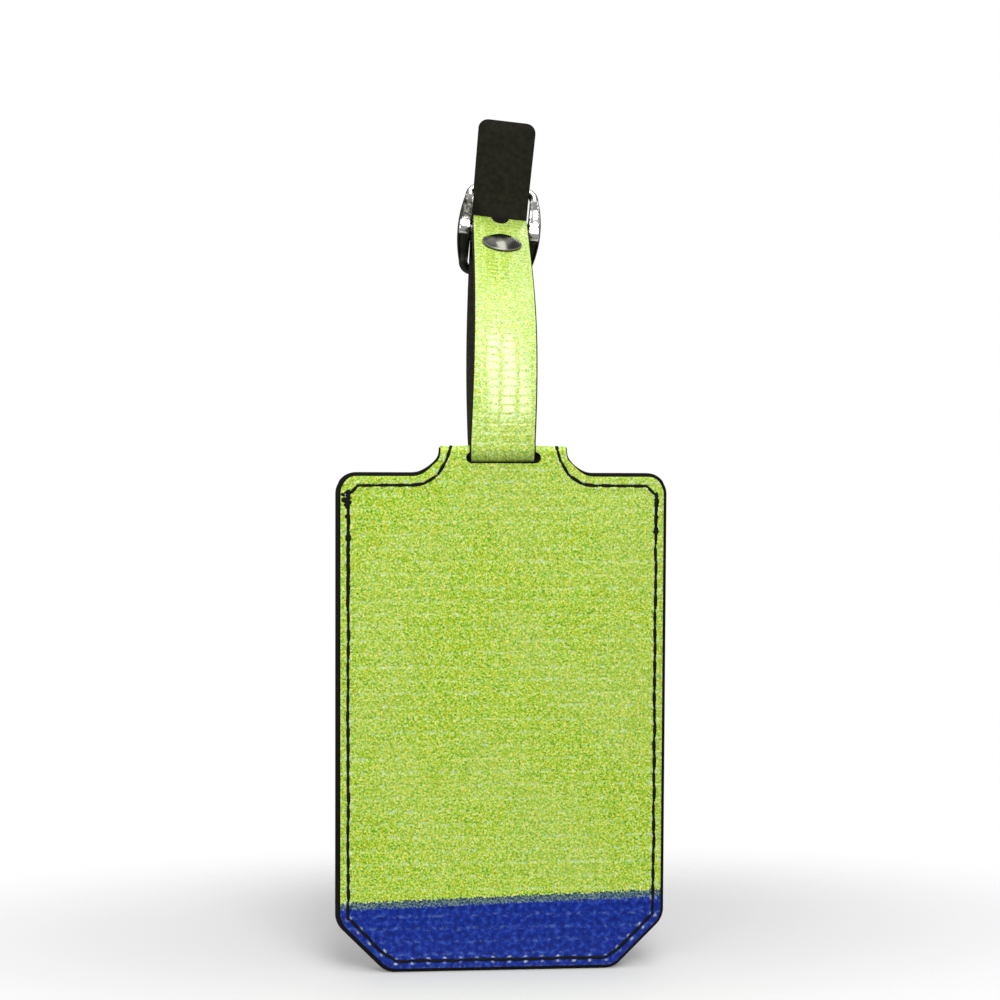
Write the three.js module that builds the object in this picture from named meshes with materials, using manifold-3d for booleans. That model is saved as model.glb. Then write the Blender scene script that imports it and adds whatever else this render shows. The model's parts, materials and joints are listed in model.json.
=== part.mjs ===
import * as THREE from "three";
import { mergeVertices } from "three/addons/utils/BufferGeometryUtils.js";
import Module from "manifold-3d";

const wasm = await Module();
wasm.setup();

// A luggage tag on its buckled strap. Millimetres, +Z up, the lime face of the tag towards -Y.
// The parts are made with y = 0, z = 0 on the line where the strap turns under the tag's neck,
// and the finished group is then moved so that its origin is the middle of the strap's loop.

// Tag: one sheet folded over the neck, round a black board whose edge shows as a rim.
const tagHalfWidth = 34.6;
const neckHalfWidth = 14.1;
const neckTopZ = 0.7;
const shoulderZ = -5.0;
const bottomZ = -109.6;
const shoulderRadius = 4.2;
const filletRadius = 4.8;
const chamferLeg = 10.6;
const chamferRadius = 5.0;
const leastRadius = 0.5;
const coverInset = 0.8;
const coverShift = 0.2;
const coverThickness = 0.6;
const boardThickness = 1.4;
const slotHalfWidth = 7.7;
const slotTopZ = -0.6;
const slotBottomZ = -2.75;

// Card pocket on the back of the tag, open at its upper edge.
const pocketMouthZ = -13.5;
const pocketHemWidth = 4.4;
const windowMargin = 7.2;
const windowTopMargin = 5;
const windowLap = 1.6;
const cardWidth = 54;
const cardHeight = 85.6;
const cardThickness = 0.4;
const cardBottomZ = -101.7;
const cardGap = 0.12;
const windowThickness = 0.3;
const pocketThickness = 0.6;
const cardCornerRadius = 3;

// Cutting solids run this far past what they cut.
const cutBeyond = 2;

// Seams: a thread that lies on the sheet, 2.5 mm in from the rim.
const seamInset = 2.5;
const threadWidth = 0.6;
const threadHeight = 0.3;
const lineEndGap = 0.5;
const pocketSeamTopZ = -9.4;
const pocketSeamBackDrop = 0.6;
const neckSeamEndZ = -9.0;

// Strap: a lime face and a black lining of one width.
const strapWidth = 13.7;
const layerInner = 0.02;
const layerOuter = 0.53;
const turnRadius = 2.075;
const frontLean = 5;
const backLean = 65;
const backRunHandles = [24, 30];
const frontRunHandles = [28, 30];
const tabBridgeHandle = 2.2;
const tailLength = 18;
const tailRadius = 2.4;
const sideLean = 0.053;
const sideLeanFrom = 2;
const endTurnFrom = 8;
const endTurnTo = 44;

// Buckle: a bowed cast frame, a steel bar across its middle, and a prong that hinges on the bar.
const barCentre = new THREE.Vector2(55, 53.85);
const frameTilt = 8;
const endTilt = 5.5;
const barRadius = 1.0;
const barHalfLength = 9.4;
const frameHalfWidth = 10.25;
const frameEndHalfWidth = 8.4;
const frameHalfHeight = 11.3;
const frameOpening = 7.6;
const frameThickness = 2.4;
const frameCorner = 2.4;
const bowReach = 0.9;
const railShare = 0.9;
const endBarLength = 2 * frameOpening + 0.8;
const endBarOffset = 10;
const endBarSetback = 3.65;
const endBarRadius = 1.2;
const hubClearance = 0.08;
const weavePeak = 3.95;
const weaveRadius = 20.7;
const foldRadius = 2.725;
const foldLean = 57;
const foldEndAngle = -95;
const notchRadius = 2.2;
const notchDepth = 1.75;
const notchReach = 0.08;
const notchRearHeight = 8;
const notchRearSetback = 0.3;
const notchRearRise = 0.4;
const prongInner = 1.15;
const prongOuter = 2.05;
const prongWidth = 2.4;
const prongThickness = 0.9;
const prongLength = 12.6;
const prongAngle = 30.8;
const holeWidth = 3.2;
const holeLength = 6.0;
const holeOffset = -5.2;
const spareHolePitch = 11;
const spareHoles = 2;
const spareHoleShift = -0.03;

// Rivet that closes the fold.
const rivetPlace = 0.825;
const rivetRadius = 4.7;
const rivetRise = 1.9;
const rivetPostRadius = 1.4;
const rivetHoleRadius = 1.75;
const rivetGap = 0.12;
const rivetBackRadius = 3.6;
const rivetBackThickness = 0.7;
const tabGap = 0.14;
const tabBeyond = 0.07;

const loopCentre = new THREE.Vector3(1.3, 27, 26);

const lime = new THREE.MeshStandardMaterial({ color: 0xb4cc52, roughness: 0.45 });
const black = new THREE.MeshStandardMaterial({ color: 0x28241f, roughness: 0.85 });
const threadBlack = new THREE.MeshStandardMaterial({ color: 0x0c0c0c, roughness: 0.7 });
const clearFilm = new THREE.MeshStandardMaterial({
  color: 0xeef3f5,
  roughness: 0.1,
  transparent: true,
  opacity: 0.35,
});
const cardWhite = new THREE.MeshStandardMaterial({ color: 0xf2f0e8, roughness: 0.8 });
const castMetal = new THREE.MeshStandardMaterial({ color: 0x9a9a98, roughness: 0.3, metalness: 1 });
const gunmetal = new THREE.MeshStandardMaterial({ color: 0x4a4945, roughness: 0.3, metalness: 1 });

const radians = THREE.MathUtils.degToRad;

// Solids ---------------------------------------------------------------------------------------

function solidOf(geometry) {
  const bare = geometry.clone();
  bare.deleteAttribute("normal");
  bare.deleteAttribute("uv");
  const merged = mergeVertices(bare, 1e-4);
  const vertProperties = merged.attributes.position.array;
  const triVerts = new Uint32Array(merged.index.array);
  return new wasm.Manifold(new wasm.Mesh({ numProp: 3, vertProperties, triVerts }));
}

function geometryOf(solid) {
  const mesh = solid.getMesh();
  const geometry = new THREE.BufferGeometry();
  geometry.setAttribute("position", new THREE.BufferAttribute(mesh.vertProperties, 3));
  geometry.setIndex(new THREE.BufferAttribute(mesh.triVerts, 1));
  return geometry;
}

function named(name, geometry, material) {
  const mesh = new THREE.Mesh(geometry, material);
  mesh.name = name;
  return mesh;
}

// An outline drawn in x and z, made solid from frontY to backY.
function plate(shape, frontY, backY) {
  const geometry = new THREE.ExtrudeGeometry(shape, {
    depth: backY - frontY,
    bevelEnabled: false,
    curveSegments: 6,
  });
  geometry.rotateX(Math.PI / 2);
  geometry.translate(0, backY, 0);
  return geometry;
}

// An outline drawn in y and z, made solid over a width centred on x = 0.
function acrossWidth(shape, width) {
  const geometry = new THREE.ExtrudeGeometry(shape, {
    depth: width,
    bevelEnabled: false,
    curveSegments: 6,
  });
  geometry.translate(0, 0, -width / 2);
  const turn = new THREE.Matrix4().makeBasis(
    new THREE.Vector3(0, 1, 0),
    new THREE.Vector3(0, 0, 1),
    new THREE.Vector3(1, 0, 0),
  );
  return geometry.applyMatrix4(turn);
}

function block(width, depth, height, x, y, z) {
  return new THREE.BoxGeometry(width, depth, height).translate(x, y, z);
}

function rodAlongY(radius, length, x, y, z, sides = 20) {
  return new THREE.CylinderGeometry(radius, radius, length, sides).translate(x, y, z);
}

function rodAlongX(radius, length, sides = 20) {
  return new THREE.CylinderGeometry(radius, radius, length, sides).rotateZ(Math.PI / 2);
}

// Tag outline ----------------------------------------------------------------------------------

// The right half of the outline from the neck's top to the middle of the bottom edge, moved inwards.
function tagSide(path, inset) {
  const side = tagHalfWidth - inset;
  const shoulder = shoulderZ - inset;
  const bottom = bottomZ + inset;
  const neck = neckHalfWidth - inset;
  const fillet = filletRadius + inset;
  const corner = Math.max(shoulderRadius - inset, leastRadius);
  const leg = chamferLeg - inset * (2 - Math.SQRT2);
  const bend = Math.max(chamferRadius - inset, leastRadius);
  const run = bend * Math.tan(Math.PI / 8);
  path.moveTo(neck, neckTopZ - coverThickness);
  path.absarc(neck + fillet, shoulder + fillet, fillet, Math.PI, 1.5 * Math.PI, false);
  path.absarc(side - corner, shoulder - corner, corner, Math.PI / 2, 0, true);
  path.absarc(side - bend, bottom + leg + run, bend, 0, -Math.PI / 4, true);
  path.absarc(side - leg - run, bottom + bend, bend, -Math.PI / 4, -Math.PI / 2, true);
  return path;
}

function mirrored(points) {
  return points.map((point) => new THREE.Vector2(-point.x, point.y)).reverse();
}

function tagOutline(inset, topZ) {
  const half = tagSide(new THREE.Path(), inset).getPoints(6);
  half[0].y = topZ;
  return new THREE.Shape([...half, ...mirrored(half)]);
}

// The part of the outline below a height, for pieces that stop short of the shoulders.
function tagBelow(inset, topZ) {
  const half = tagSide(new THREE.Path(), inset).getPoints(6);
  const lower = half.filter((point) => point.y < topZ - lineEndGap);
  lower.unshift(new THREE.Vector2(tagHalfWidth - inset, topZ));
  return [...lower, ...mirrored(lower)];
}

function stadium(path, halfWidth, lowZ, highZ) {
  const radius = (highZ - lowZ) / 2;
  const middle = (highZ + lowZ) / 2;
  path.absarc(halfWidth - radius, middle, radius, -Math.PI / 2, Math.PI / 2, false);
  path.absarc(radius - halfWidth, middle, radius, Math.PI / 2, 1.5 * Math.PI, false);
  return path;
}

function roundedRectangle(path, halfWidth, lowZ, highZ, radius) {
  path.absarc(halfWidth - radius, highZ - radius, radius, 0, Math.PI / 2, false);
  path.absarc(radius - halfWidth, highZ - radius, radius, Math.PI / 2, Math.PI, false);
  path.absarc(radius - halfWidth, lowZ + radius, radius, Math.PI, 1.5 * Math.PI, false);
  path.absarc(halfWidth - radius, lowZ + radius, radius, 1.5 * Math.PI, 2 * Math.PI, false);
  path.closePath();
  return path;
}

const neckHalfDepth = boardThickness / 2 + coverThickness;
const boardFaceY = boardThickness / 2;
const backY = neckHalfDepth;
const windowY = backY + cardGap + cardThickness + cardGap;
const pocketY = windowY + windowThickness;
const pocketBackY = pocketY + pocketThickness;

// The lime sheet: front wall, the fold over the top of the neck, and back wall, less the board's space.
function makeCover() {
  const outline = tagOutline(coverInset, slotTopZ);
  const foldWidth = 2 * (neckHalfWidth - coverInset);
  const walls = solidOf(plate(outline, -neckHalfDepth, neckHalfDepth));
  const fold = solidOf(rodAlongX(neckHalfDepth, foldWidth, 24).translate(0, 0, slotTopZ));
  const space = solidOf(plate(tagOutline(-cutBeyond, slotTopZ + boardFaceY), -boardFaceY, boardFaceY));
  const slotShape = stadium(new THREE.Shape(), slotHalfWidth, slotBottomZ, slotTopZ);
  const slot = solidOf(plate(slotShape, -neckHalfDepth - cutBeyond, neckHalfDepth + cutBeyond));
  const cover = walls.add(fold).subtract(space).subtract(slot);
  return geometryOf(cover.translate([coverShift, 0, 0]));
}

function makeBoard() {
  const outline = tagOutline(0, slotTopZ + boardFaceY - 0.1);
  outline.holes.push(stadium(new THREE.Path(), slotHalfWidth + coverShift, slotBottomZ, slotTopZ));
  return plate(outline, -boardFaceY, boardFaceY);
}

// The black panel of the pocket, its hem pressed against the tag and its middle standing clear.
function makePocketPanel() {
  const outer = new THREE.Shape(tagBelow(coverInset, pocketMouthZ));
  const opening = tagBelow(windowMargin, pocketMouthZ - windowTopMargin).reverse();
  outer.holes.push(new THREE.Path(opening));
  const hem = new THREE.Shape(tagBelow(coverInset, pocketMouthZ));
  const clear = tagBelow(pocketHemWidth, pocketMouthZ + cutBeyond);
  const panel = solidOf(plate(outer, pocketY, pocketBackY));
  const rim = solidOf(plate(hem, backY, pocketY)).subtract(
    solidOf(plate(new THREE.Shape(clear), backY - 1, pocketY + 0.001)),
  );
  return geometryOf(panel.add(rim));
}

function makeWindowFilm() {
  const outline = tagBelow(windowMargin - windowLap, pocketMouthZ - windowTopMargin + windowLap);
  return plate(new THREE.Shape(outline), windowY, windowY + windowThickness);
}

function makeCard() {
  const shape = new THREE.Shape();
  roundedRectangle(shape, cardWidth / 2, cardBottomZ, cardBottomZ + cardHeight, cardCornerRadius);
  return plate(shape, backY + cardGap, backY + cardGap + cardThickness);
}

// A thread along part of the outline, on the front (-1) or the back (1).
function thread(line, surfaceY, side) {
  const outer = line(seamInset - threadWidth / 2);
  const inner = line(seamInset + threadWidth / 2).reverse();
  const shape = new THREE.Shape([...outer, ...inner]);
  const far = surfaceY + side * threadHeight;
  return plate(shape, Math.min(surfaceY, far), Math.max(surfaceY, far));
}

function pocketSeamLine(topZ) {
  return (inset) => tagBelow(inset, topZ);
}

function neckSeamLine(sideSign) {
  return (inset) => {
    const half = tagSide(new THREE.Path(), inset).getPoints(6);
    const upper = half.filter((point) => point.y > neckSeamEndZ + lineEndGap);
    upper[0].y = slotTopZ;
    upper.push(new THREE.Vector2(tagHalfWidth - inset, neckSeamEndZ));
    return upper.map((point) => new THREE.Vector2(sideSign * point.x, point.y));
  };
}

// Strap route in y and z, from the tail's tip to the end of the riveted tab -----------------------

const along = new THREE.Vector2(-Math.sin(radians(frameTilt)), Math.cos(radians(frameTilt)));
const behind = new THREE.Vector2(along.y, -along.x);

// A place given behind and above the bar, in the tilted frame's own directions.
function fromBar(back, up) {
  return barCentre.clone().addScaledVector(behind, back).addScaledVector(along, up);
}

function arcAbout(centre, radius, fromDegrees, toDegrees, steps) {
  const points = [];
  for (let i = 0; i <= steps; i++) {
    const angle = radians(fromDegrees + ((toDegrees - fromDegrees) * i) / steps);
    points.push(new THREE.Vector2(Math.cos(angle), Math.sin(angle)).multiplyScalar(radius).add(centre));
  }
  return points;
}

function heading(lean) {
  return new THREE.Vector2(Math.sin(radians(lean)), Math.cos(radians(lean)));
}

const weaveAngle = THREE.MathUtils.radToDeg(Math.asin(endBarOffset / weaveRadius));
const weave = arcAbout(
  fromBar(weavePeak - weaveRadius, 0),
  weaveRadius,
  frameTilt + weaveAngle,
  frameTilt - weaveAngle,
  12,
);
const tailTip = weave[0].clone().addScaledVector(heading(-weaveAngle - frameTilt), tailLength);

const turn = arcAbout(new THREE.Vector2(0, 0), turnRadius, -backLean, -180 - frontLean, 12);

const backEnd = weave[weave.length - 1];
const backRun = new THREE.CubicBezierCurve(
  backEnd,
  backEnd.clone().addScaledVector(heading(weaveAngle - frameTilt), -backRunHandles[0]),
  turn[0].clone().addScaledVector(heading(backLean), backRunHandles[1]),
  turn[0],
);

const fold = arcAbout(barCentre, foldRadius, 180 - foldLean, foldEndAngle, 16);
const frontRun = new THREE.CubicBezierCurve(
  turn[turn.length - 1],
  turn[turn.length - 1].clone().addScaledVector(heading(frontLean), frontRunHandles[0]),
  fold[0].clone().addScaledVector(heading(foldLean), -frontRunHandles[1]),
  fold[0],
);

// A place on the tab, which lies against the inside of the front run.
function onTab(t) {
  const tangent = frontRun.getTangent(t);
  const inside = new THREE.Vector2(tangent.y, -tangent.x);
  return frontRun.getPoint(t).addScaledVector(inside, 2 * layerOuter + tabGap);
}

const tabMeets = rivetPlace + tabBeyond;
const foldEnd = fold[fold.length - 1];
const tabStart = onTab(tabMeets);
const tabHeading = onTab(tabMeets - 0.01).sub(tabStart).normalize();
const tabBridge = new THREE.CubicBezierCurve(
  foldEnd,
  foldEnd.clone().add(new THREE.Vector2(-tabBridgeHandle, 0.1)),
  tabStart.clone().addScaledVector(tabHeading, -tabBridgeHandle),
  tabStart,
);
const tabRun = [];
for (let i = 1; i <= 6; i++) tabRun.push(onTab(tabMeets - (i * 2 * tabBeyond) / 6));

const route = [
  tailTip,
  ...weave,
  ...backRun.getPoints(18).slice(1),
  ...turn.slice(1),
  ...frontRun.getPoints(20).slice(1),
  ...fold.slice(1),
  ...tabBridge.getPoints(5).slice(1),
  ...tabRun,
];

// The route moved sideways: to the lime side by a positive distance, to the lining's by a negative one.
function beside(distance) {
  return route.map((point, i) => {
    const before = route[Math.max(i - 1, 0)];
    const after = route[Math.min(i + 1, route.length - 1)];
    const direction = after.clone().sub(before).normalize();
    return point.clone().add(new THREE.Vector2(-direction.y, direction.x).multiplyScalar(distance));
  });
}

// The strap leans a little to one side as it rises, and its upper end is turned the same way.
function sideways(z) {
  return sideLean * Math.max(z - sideLeanFrom, 0);
}

function endTurn(z) {
  return Math.tan(radians(endTilt)) * THREE.MathUtils.smoothstep(z, endTurnFrom, endTurnTo);
}

function leaned(geometry) {
  const places = geometry.attributes.position;
  for (let i = 0; i < places.count; i++) {
    const x = places.getX(i);
    const z = places.getZ(i);
    places.setX(i, x + sideways(z));
    places.setZ(i, z - x * endTurn(z));
  }
  return geometry;
}

// A tool that cuts straight through the strap at a place, pointing along the strap's normal.
function placedCutter(geometry, place, direction) {
  const normal = new THREE.Vector3(0, -direction.y, direction.x);
  const lengthwise = new THREE.Vector3(0, direction.x, direction.y);
  const across = new THREE.Vector3(1, 0, 0);
  const matrix = new THREE.Matrix4().makeBasis(across, lengthwise, normal);
  matrix.setPosition(0, place.x, place.y);
  return solidOf(geometry.applyMatrix4(matrix));
}

function oblongTool(width, length) {
  const shape = new THREE.Shape();
  const straight = (length - width) / 2;
  shape.absarc(0, straight, width / 2, 0, Math.PI, false);
  shape.absarc(0, -straight, width / 2, Math.PI, 2 * Math.PI, false);
  const geometry = new THREE.ExtrudeGeometry(shape, { depth: 5, bevelEnabled: false, curveSegments: 6 });
  return geometry.translate(0, 0, -2.5);
}

// Takes the two sharp corners off the tail.
function tailTool() {
  const half = strapWidth / 2;
  const shape = new THREE.Shape();
  shape.moveTo(-half - 2, 2);
  shape.lineTo(-half - 2, -tailRadius);
  shape.lineTo(-half, -tailRadius);
  shape.absarc(tailRadius - half, -tailRadius, tailRadius, Math.PI, Math.PI / 2, true);
  shape.absarc(half - tailRadius, -tailRadius, tailRadius, Math.PI / 2, 0, true);
  shape.lineTo(half + 2, -tailRadius);
  shape.lineTo(half + 2, 2);
  const geometry = new THREE.ExtrudeGeometry(shape, { depth: 4, bevelEnabled: false, curveSegments: 6 });
  return geometry.translate(0, 0, -2);
}

const rivetPoint = frontRun.getPoint(rivetPlace);
const rivetHeading = frontRun.getTangent(rivetPlace);

// The prong's clearance in the fold: a round notch over the crest, and the whole width behind the bar.
function foldNotch() {
  const around = rodAlongX(foldRadius + layerOuter + notchReach, 2 * notchRadius, 32);
  const aroundBar = solidOf(around.translate(0, barCentre.x, barCentre.y));
  const crestZ = barCentre.y + foldRadius + layerOuter;
  const roundZ = crestZ - notchDepth + notchRadius;
  const round = solidOf(rodAlongY(notchRadius, 12, 0, barCentre.x, roundZ));
  const rearY = barCentre.x + notchRearHeight / 2 + notchRearSetback;
  const rearZ = barCentre.y + notchRearRise;
  const rear = solidOf(block(2 * notchRadius, notchRearHeight, notchRearHeight, 0, rearY, rearZ));
  return aroundBar.intersect(round.add(rear));
}

function strapCutters() {
  const cutters = [placedCutter(tailTool(), tailTip, heading(-weaveAngle - frameTilt))];
  const used = fromBar(weavePeak - weaveRadius + Math.sqrt(weaveRadius ** 2 - holeOffset ** 2), holeOffset);
  const usedLean = -THREE.MathUtils.radToDeg(Math.asin(holeOffset / weaveRadius)) - frameTilt;
  cutters.push(placedCutter(oblongTool(holeWidth, holeLength), used, heading(usedLean)));
  const pitch = spareHolePitch / backRun.getLength();
  for (let i = 1; i <= spareHoles; i++) {
    const t = i * pitch + spareHoleShift;
    const direction = backRun.getTangentAt(t).negate();
    cutters.push(placedCutter(oblongTool(holeWidth, holeLength), backRun.getPointAt(t), direction));
  }
  const rivetHole = new THREE.CylinderGeometry(rivetHoleRadius, rivetHoleRadius, 8, 16).rotateX(Math.PI / 2);
  cutters.push(placedCutter(rivetHole, rivetPoint, rivetHeading));
  cutters.push(foldNotch());
  return cutters;
}

function strapLayer(nearer, farther, cutters) {
  const shape = new THREE.Shape([...beside(nearer), ...beside(farther).reverse()]);
  let layer = solidOf(acrossWidth(shape, strapWidth));
  for (const cutter of cutters) layer = layer.subtract(cutter);
  return leaned(geometryOf(layer));
}

// Rivet ------------------------------------------------------------------------------------------

// Its own axis is z: the cap's dome points out of the lime face.
function makeRivetCap() {
  const base = layerOuter + rivetGap;
  const ball = (rivetRadius ** 2 + rivetRise ** 2) / (2 * rivetRise);
  const reach = Math.asin(rivetRadius / ball);
  const profile = [new THREE.Vector2(0, base)];
  for (let i = 0; i <= 8; i++) {
    const angle = reach * (1 - i / 8);
    const height = base + rivetRise - ball + ball * Math.cos(angle);
    profile.push(new THREE.Vector2(i === 8 ? 0 : ball * Math.sin(angle), height));
  }
  return new THREE.LatheGeometry(profile, 28);
}

function makeRivetBack() {
  const depth = -3 * layerOuter - tabGap - rivetGap;
  const profile = [
    new THREE.Vector2(0, depth - rivetBackThickness),
    new THREE.Vector2(rivetBackRadius - 0.4, depth - rivetBackThickness),
    new THREE.Vector2(rivetBackRadius, depth - 0.3),
    new THREE.Vector2(rivetBackRadius, depth),
    new THREE.Vector2(rivetPostRadius, depth),
    new THREE.Vector2(rivetPostRadius, layerOuter),
    new THREE.Vector2(0, layerOuter),
  ];
  return new THREE.LatheGeometry(profile, 24);
}

function rivetGroup() {
  const slope = endTurn(rivetPoint.y);
  const across = new THREE.Vector3(1, 0, -slope).normalize();
  const lengthwise = new THREE.Vector3(0, rivetHeading.x, rivetHeading.y);
  const normal = new THREE.Vector3().crossVectors(across, lengthwise).normalize();
  lengthwise.crossVectors(normal, across);
  const group = new THREE.Group();
  group.quaternion.setFromRotationMatrix(new THREE.Matrix4().makeBasis(across, lengthwise, normal));
  group.position.set(sideways(rivetPoint.y), rivetPoint.x, rivetPoint.y);
  const upright = new THREE.Group();
  upright.rotation.x = Math.PI / 2;
  upright.add(named("rivet_cap", makeRivetCap(), gunmetal));
  upright.add(named("rivet_back", makeRivetBack(), gunmetal));
  group.add(upright);
  return group;
}

// Buckle -----------------------------------------------------------------------------------------

// Bar along x, frame's length along z, decorative side towards +y; the origin is the bar's middle.
function makeBuckleFrame() {
  const bulge = frameHalfWidth - frameEndHalfWidth;
  const sideRadius = (endBarOffset ** 2 + bulge ** 2) / (2 * bulge);
  const sideReach = railShare * Math.asin(endBarOffset / sideRadius);
  const corner = frameCorner;
  const end = frameHalfHeight;
  const outline = new THREE.Shape();
  outline.absarc(frameHalfWidth - sideRadius, 0, sideRadius, -sideReach, sideReach, false);
  outline.absarc(frameEndHalfWidth - corner, end - corner, corner, 0, Math.PI / 2, false);
  outline.absarc(corner - frameEndHalfWidth, end - corner, corner, Math.PI / 2, Math.PI, false);
  outline.absarc(sideRadius - frameHalfWidth, 0, sideRadius, Math.PI - sideReach, Math.PI + sideReach, false);
  outline.absarc(corner - frameEndHalfWidth, corner - end, corner, Math.PI, 1.5 * Math.PI, false);
  outline.absarc(frameEndHalfWidth - corner, corner - end, corner, 1.5 * Math.PI, 2 * Math.PI, false);
  const bowRadius = (endBarOffset ** 2 + endBarSetback ** 2) / (2 * endBarSetback);
  const half = frameThickness / 2;
  const bow = new THREE.Shape();
  bow.absarc(bowRadius, 0, bowRadius + half, Math.PI - bowReach, Math.PI + bowReach, false);
  bow.absarc(bowRadius, 0, bowRadius - half, Math.PI + bowReach, Math.PI - bowReach, true);
  const band = solidOf(acrossWidth(bow, 2 * frameHalfWidth + 2));
  const rails = solidOf(plate(outline, -6, 12))
    .intersect(band)
    .subtract(solidOf(block(2 * frameOpening, 30, 40, 0, 0, 0)));
  let frame = rails;
  for (const sign of [-1, 1]) {
    const bar = rodAlongX(endBarRadius, endBarLength).translate(0, endBarSetback, sign * endBarOffset);
    frame = frame.add(solidOf(bar));
  }
  frame = frame.subtract(solidOf(rodAlongX(barRadius + hubClearance, 2 * barHalfLength + 0.3)));
  return geometryOf(frame);
}

function makeBuckleBar() {
  return rodAlongX(barRadius, 2 * barHalfLength, 20);
}

// A tongue of flat stock rolled round the bar, reaching down and back to rest on the lower end bar.
function makeProng() {
  const eye = solidOf(rodAlongX(prongOuter, prongWidth, 24));
  const bore = solidOf(rodAlongX(prongInner, prongWidth + 2, 24));
  const start = (prongInner + prongOuter) / 2;
  const arm = new THREE.Shape();
  arm.moveTo(-prongThickness / 2, -start);
  arm.lineTo(prongThickness / 2, -start);
  arm.lineTo(prongThickness / 2, -prongLength + 0.4);
  arm.lineTo(prongThickness / 2 - 0.35, -prongLength);
  arm.lineTo(-prongThickness / 2 + 0.2, -prongLength);
  arm.lineTo(-prongThickness / 2, -prongLength + 0.3);
  const tongue = solidOf(acrossWidth(arm, prongWidth).rotateX(radians(prongAngle)));
  return geometryOf(eye.add(tongue).subtract(bore));
}

function buckleGroup() {
  const group = new THREE.Group();
  group.position.set(sideways(barCentre.y), barCentre.x, barCentre.y);
  group.rotation.set(radians(frameTilt), radians(endTilt), 0, "YXZ");
  group.add(named("buckle_frame", makeBuckleFrame(), castMetal));
  group.add(named("buckle_bar", makeBuckleBar(), castMetal));
  group.add(named("buckle_prong", makeProng(), castMetal));
  return group;
}

// Assembly ---------------------------------------------------------------------------------------

function tagGroup() {
  const group = new THREE.Group();
  group.add(named("folded_cover", makeCover(), lime));
  group.add(named("inner_board", makeBoard(), black));
  group.add(named("pocket_panel", makePocketPanel(), black));
  group.add(named("window_film", makeWindowFilm(), clearFilm));
  group.add(named("address_card", makeCard(), cardWhite));
  const front = -neckHalfDepth;
  const lower = pocketSeamLine(pocketSeamTopZ);
  const pocketLower = pocketSeamLine(pocketMouthZ - pocketSeamBackDrop);
  group.add(named("pocket_seam_front", thread(lower, front, -1), threadBlack));
  group.add(named("pocket_seam_back", thread(pocketLower, pocketBackY, 1), threadBlack));
  for (const [name, sign] of [["left", -1], ["right", 1]]) {
    const line = neckSeamLine(sign);
    group.add(named(`neck_seam_front_${name}`, thread(line, front, -1), threadBlack));
    group.add(named(`neck_seam_back_${name}`, thread(line, neckHalfDepth, 1), threadBlack));
  }
  return group;
}

function strapGroup() {
  const group = new THREE.Group();
  const cutters = strapCutters();
  group.add(named("strap_face", strapLayer(layerInner, layerOuter, cutters), lime));
  group.add(named("strap_lining", strapLayer(-layerOuter, -layerInner, cutters), black));
  group.add(rivetGroup());
  return group;
}

const luggageTag = new THREE.Group();
luggageTag.add(tagGroup());
luggageTag.add(strapGroup());
luggageTag.add(buckleGroup());
luggageTag.position.copy(loopCentre).negate();

export default luggageTag;
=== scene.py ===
import json
import math
import random

import bmesh
import bpy
from mathutils import Matrix, Vector, noise


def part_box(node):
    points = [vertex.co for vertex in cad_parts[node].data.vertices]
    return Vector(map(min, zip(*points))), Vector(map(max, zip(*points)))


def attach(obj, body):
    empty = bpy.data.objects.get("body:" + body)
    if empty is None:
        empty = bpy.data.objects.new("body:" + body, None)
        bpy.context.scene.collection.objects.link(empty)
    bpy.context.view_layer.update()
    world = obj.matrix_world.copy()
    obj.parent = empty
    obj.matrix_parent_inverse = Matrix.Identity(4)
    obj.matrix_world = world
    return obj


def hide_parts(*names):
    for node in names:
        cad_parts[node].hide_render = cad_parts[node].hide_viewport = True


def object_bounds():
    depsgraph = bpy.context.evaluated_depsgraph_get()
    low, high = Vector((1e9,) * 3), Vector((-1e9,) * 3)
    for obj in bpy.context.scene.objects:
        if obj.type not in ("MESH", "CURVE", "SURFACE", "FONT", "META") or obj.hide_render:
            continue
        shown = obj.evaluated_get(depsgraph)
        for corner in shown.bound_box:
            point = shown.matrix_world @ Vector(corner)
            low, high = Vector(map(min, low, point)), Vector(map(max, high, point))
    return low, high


# A luggage tag on its buckled strap. Shapes are worked out in millimetres from the hinge line where
# the strap turns under the tag's neck, and are put in the frame's metres at the end.
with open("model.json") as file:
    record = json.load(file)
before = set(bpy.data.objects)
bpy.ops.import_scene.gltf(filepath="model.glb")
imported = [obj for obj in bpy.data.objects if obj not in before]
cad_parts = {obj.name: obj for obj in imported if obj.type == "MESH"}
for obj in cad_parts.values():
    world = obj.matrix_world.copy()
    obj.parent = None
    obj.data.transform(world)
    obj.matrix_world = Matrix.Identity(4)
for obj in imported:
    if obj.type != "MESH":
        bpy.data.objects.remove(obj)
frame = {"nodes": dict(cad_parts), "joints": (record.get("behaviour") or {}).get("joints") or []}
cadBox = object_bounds()
mm = 0.001
joints = {joint["name"]: joint for joint in frame["joints"]}
pivot = Vector(joints["tag_swing"]["pos_m"])
random.seed(11)


def fromPivot(point):
    return (Vector(point) - pivot) / mm


def smoothStep(value, low, high):
    share = min(max((value - low) / (high - low), 0.0), 1.0)
    return share * share * (3 - 2 * share)


def bell(value, width):
    return math.exp(-((value / width) ** 2))


def linearColour(red, green, blue):
    def channel(value):
        value /= 255
        return value / 12.92 if value < 0.04045 else ((value + 0.055) / 1.055) ** 2.4

    return (channel(red), channel(green), channel(blue), 1)


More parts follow.
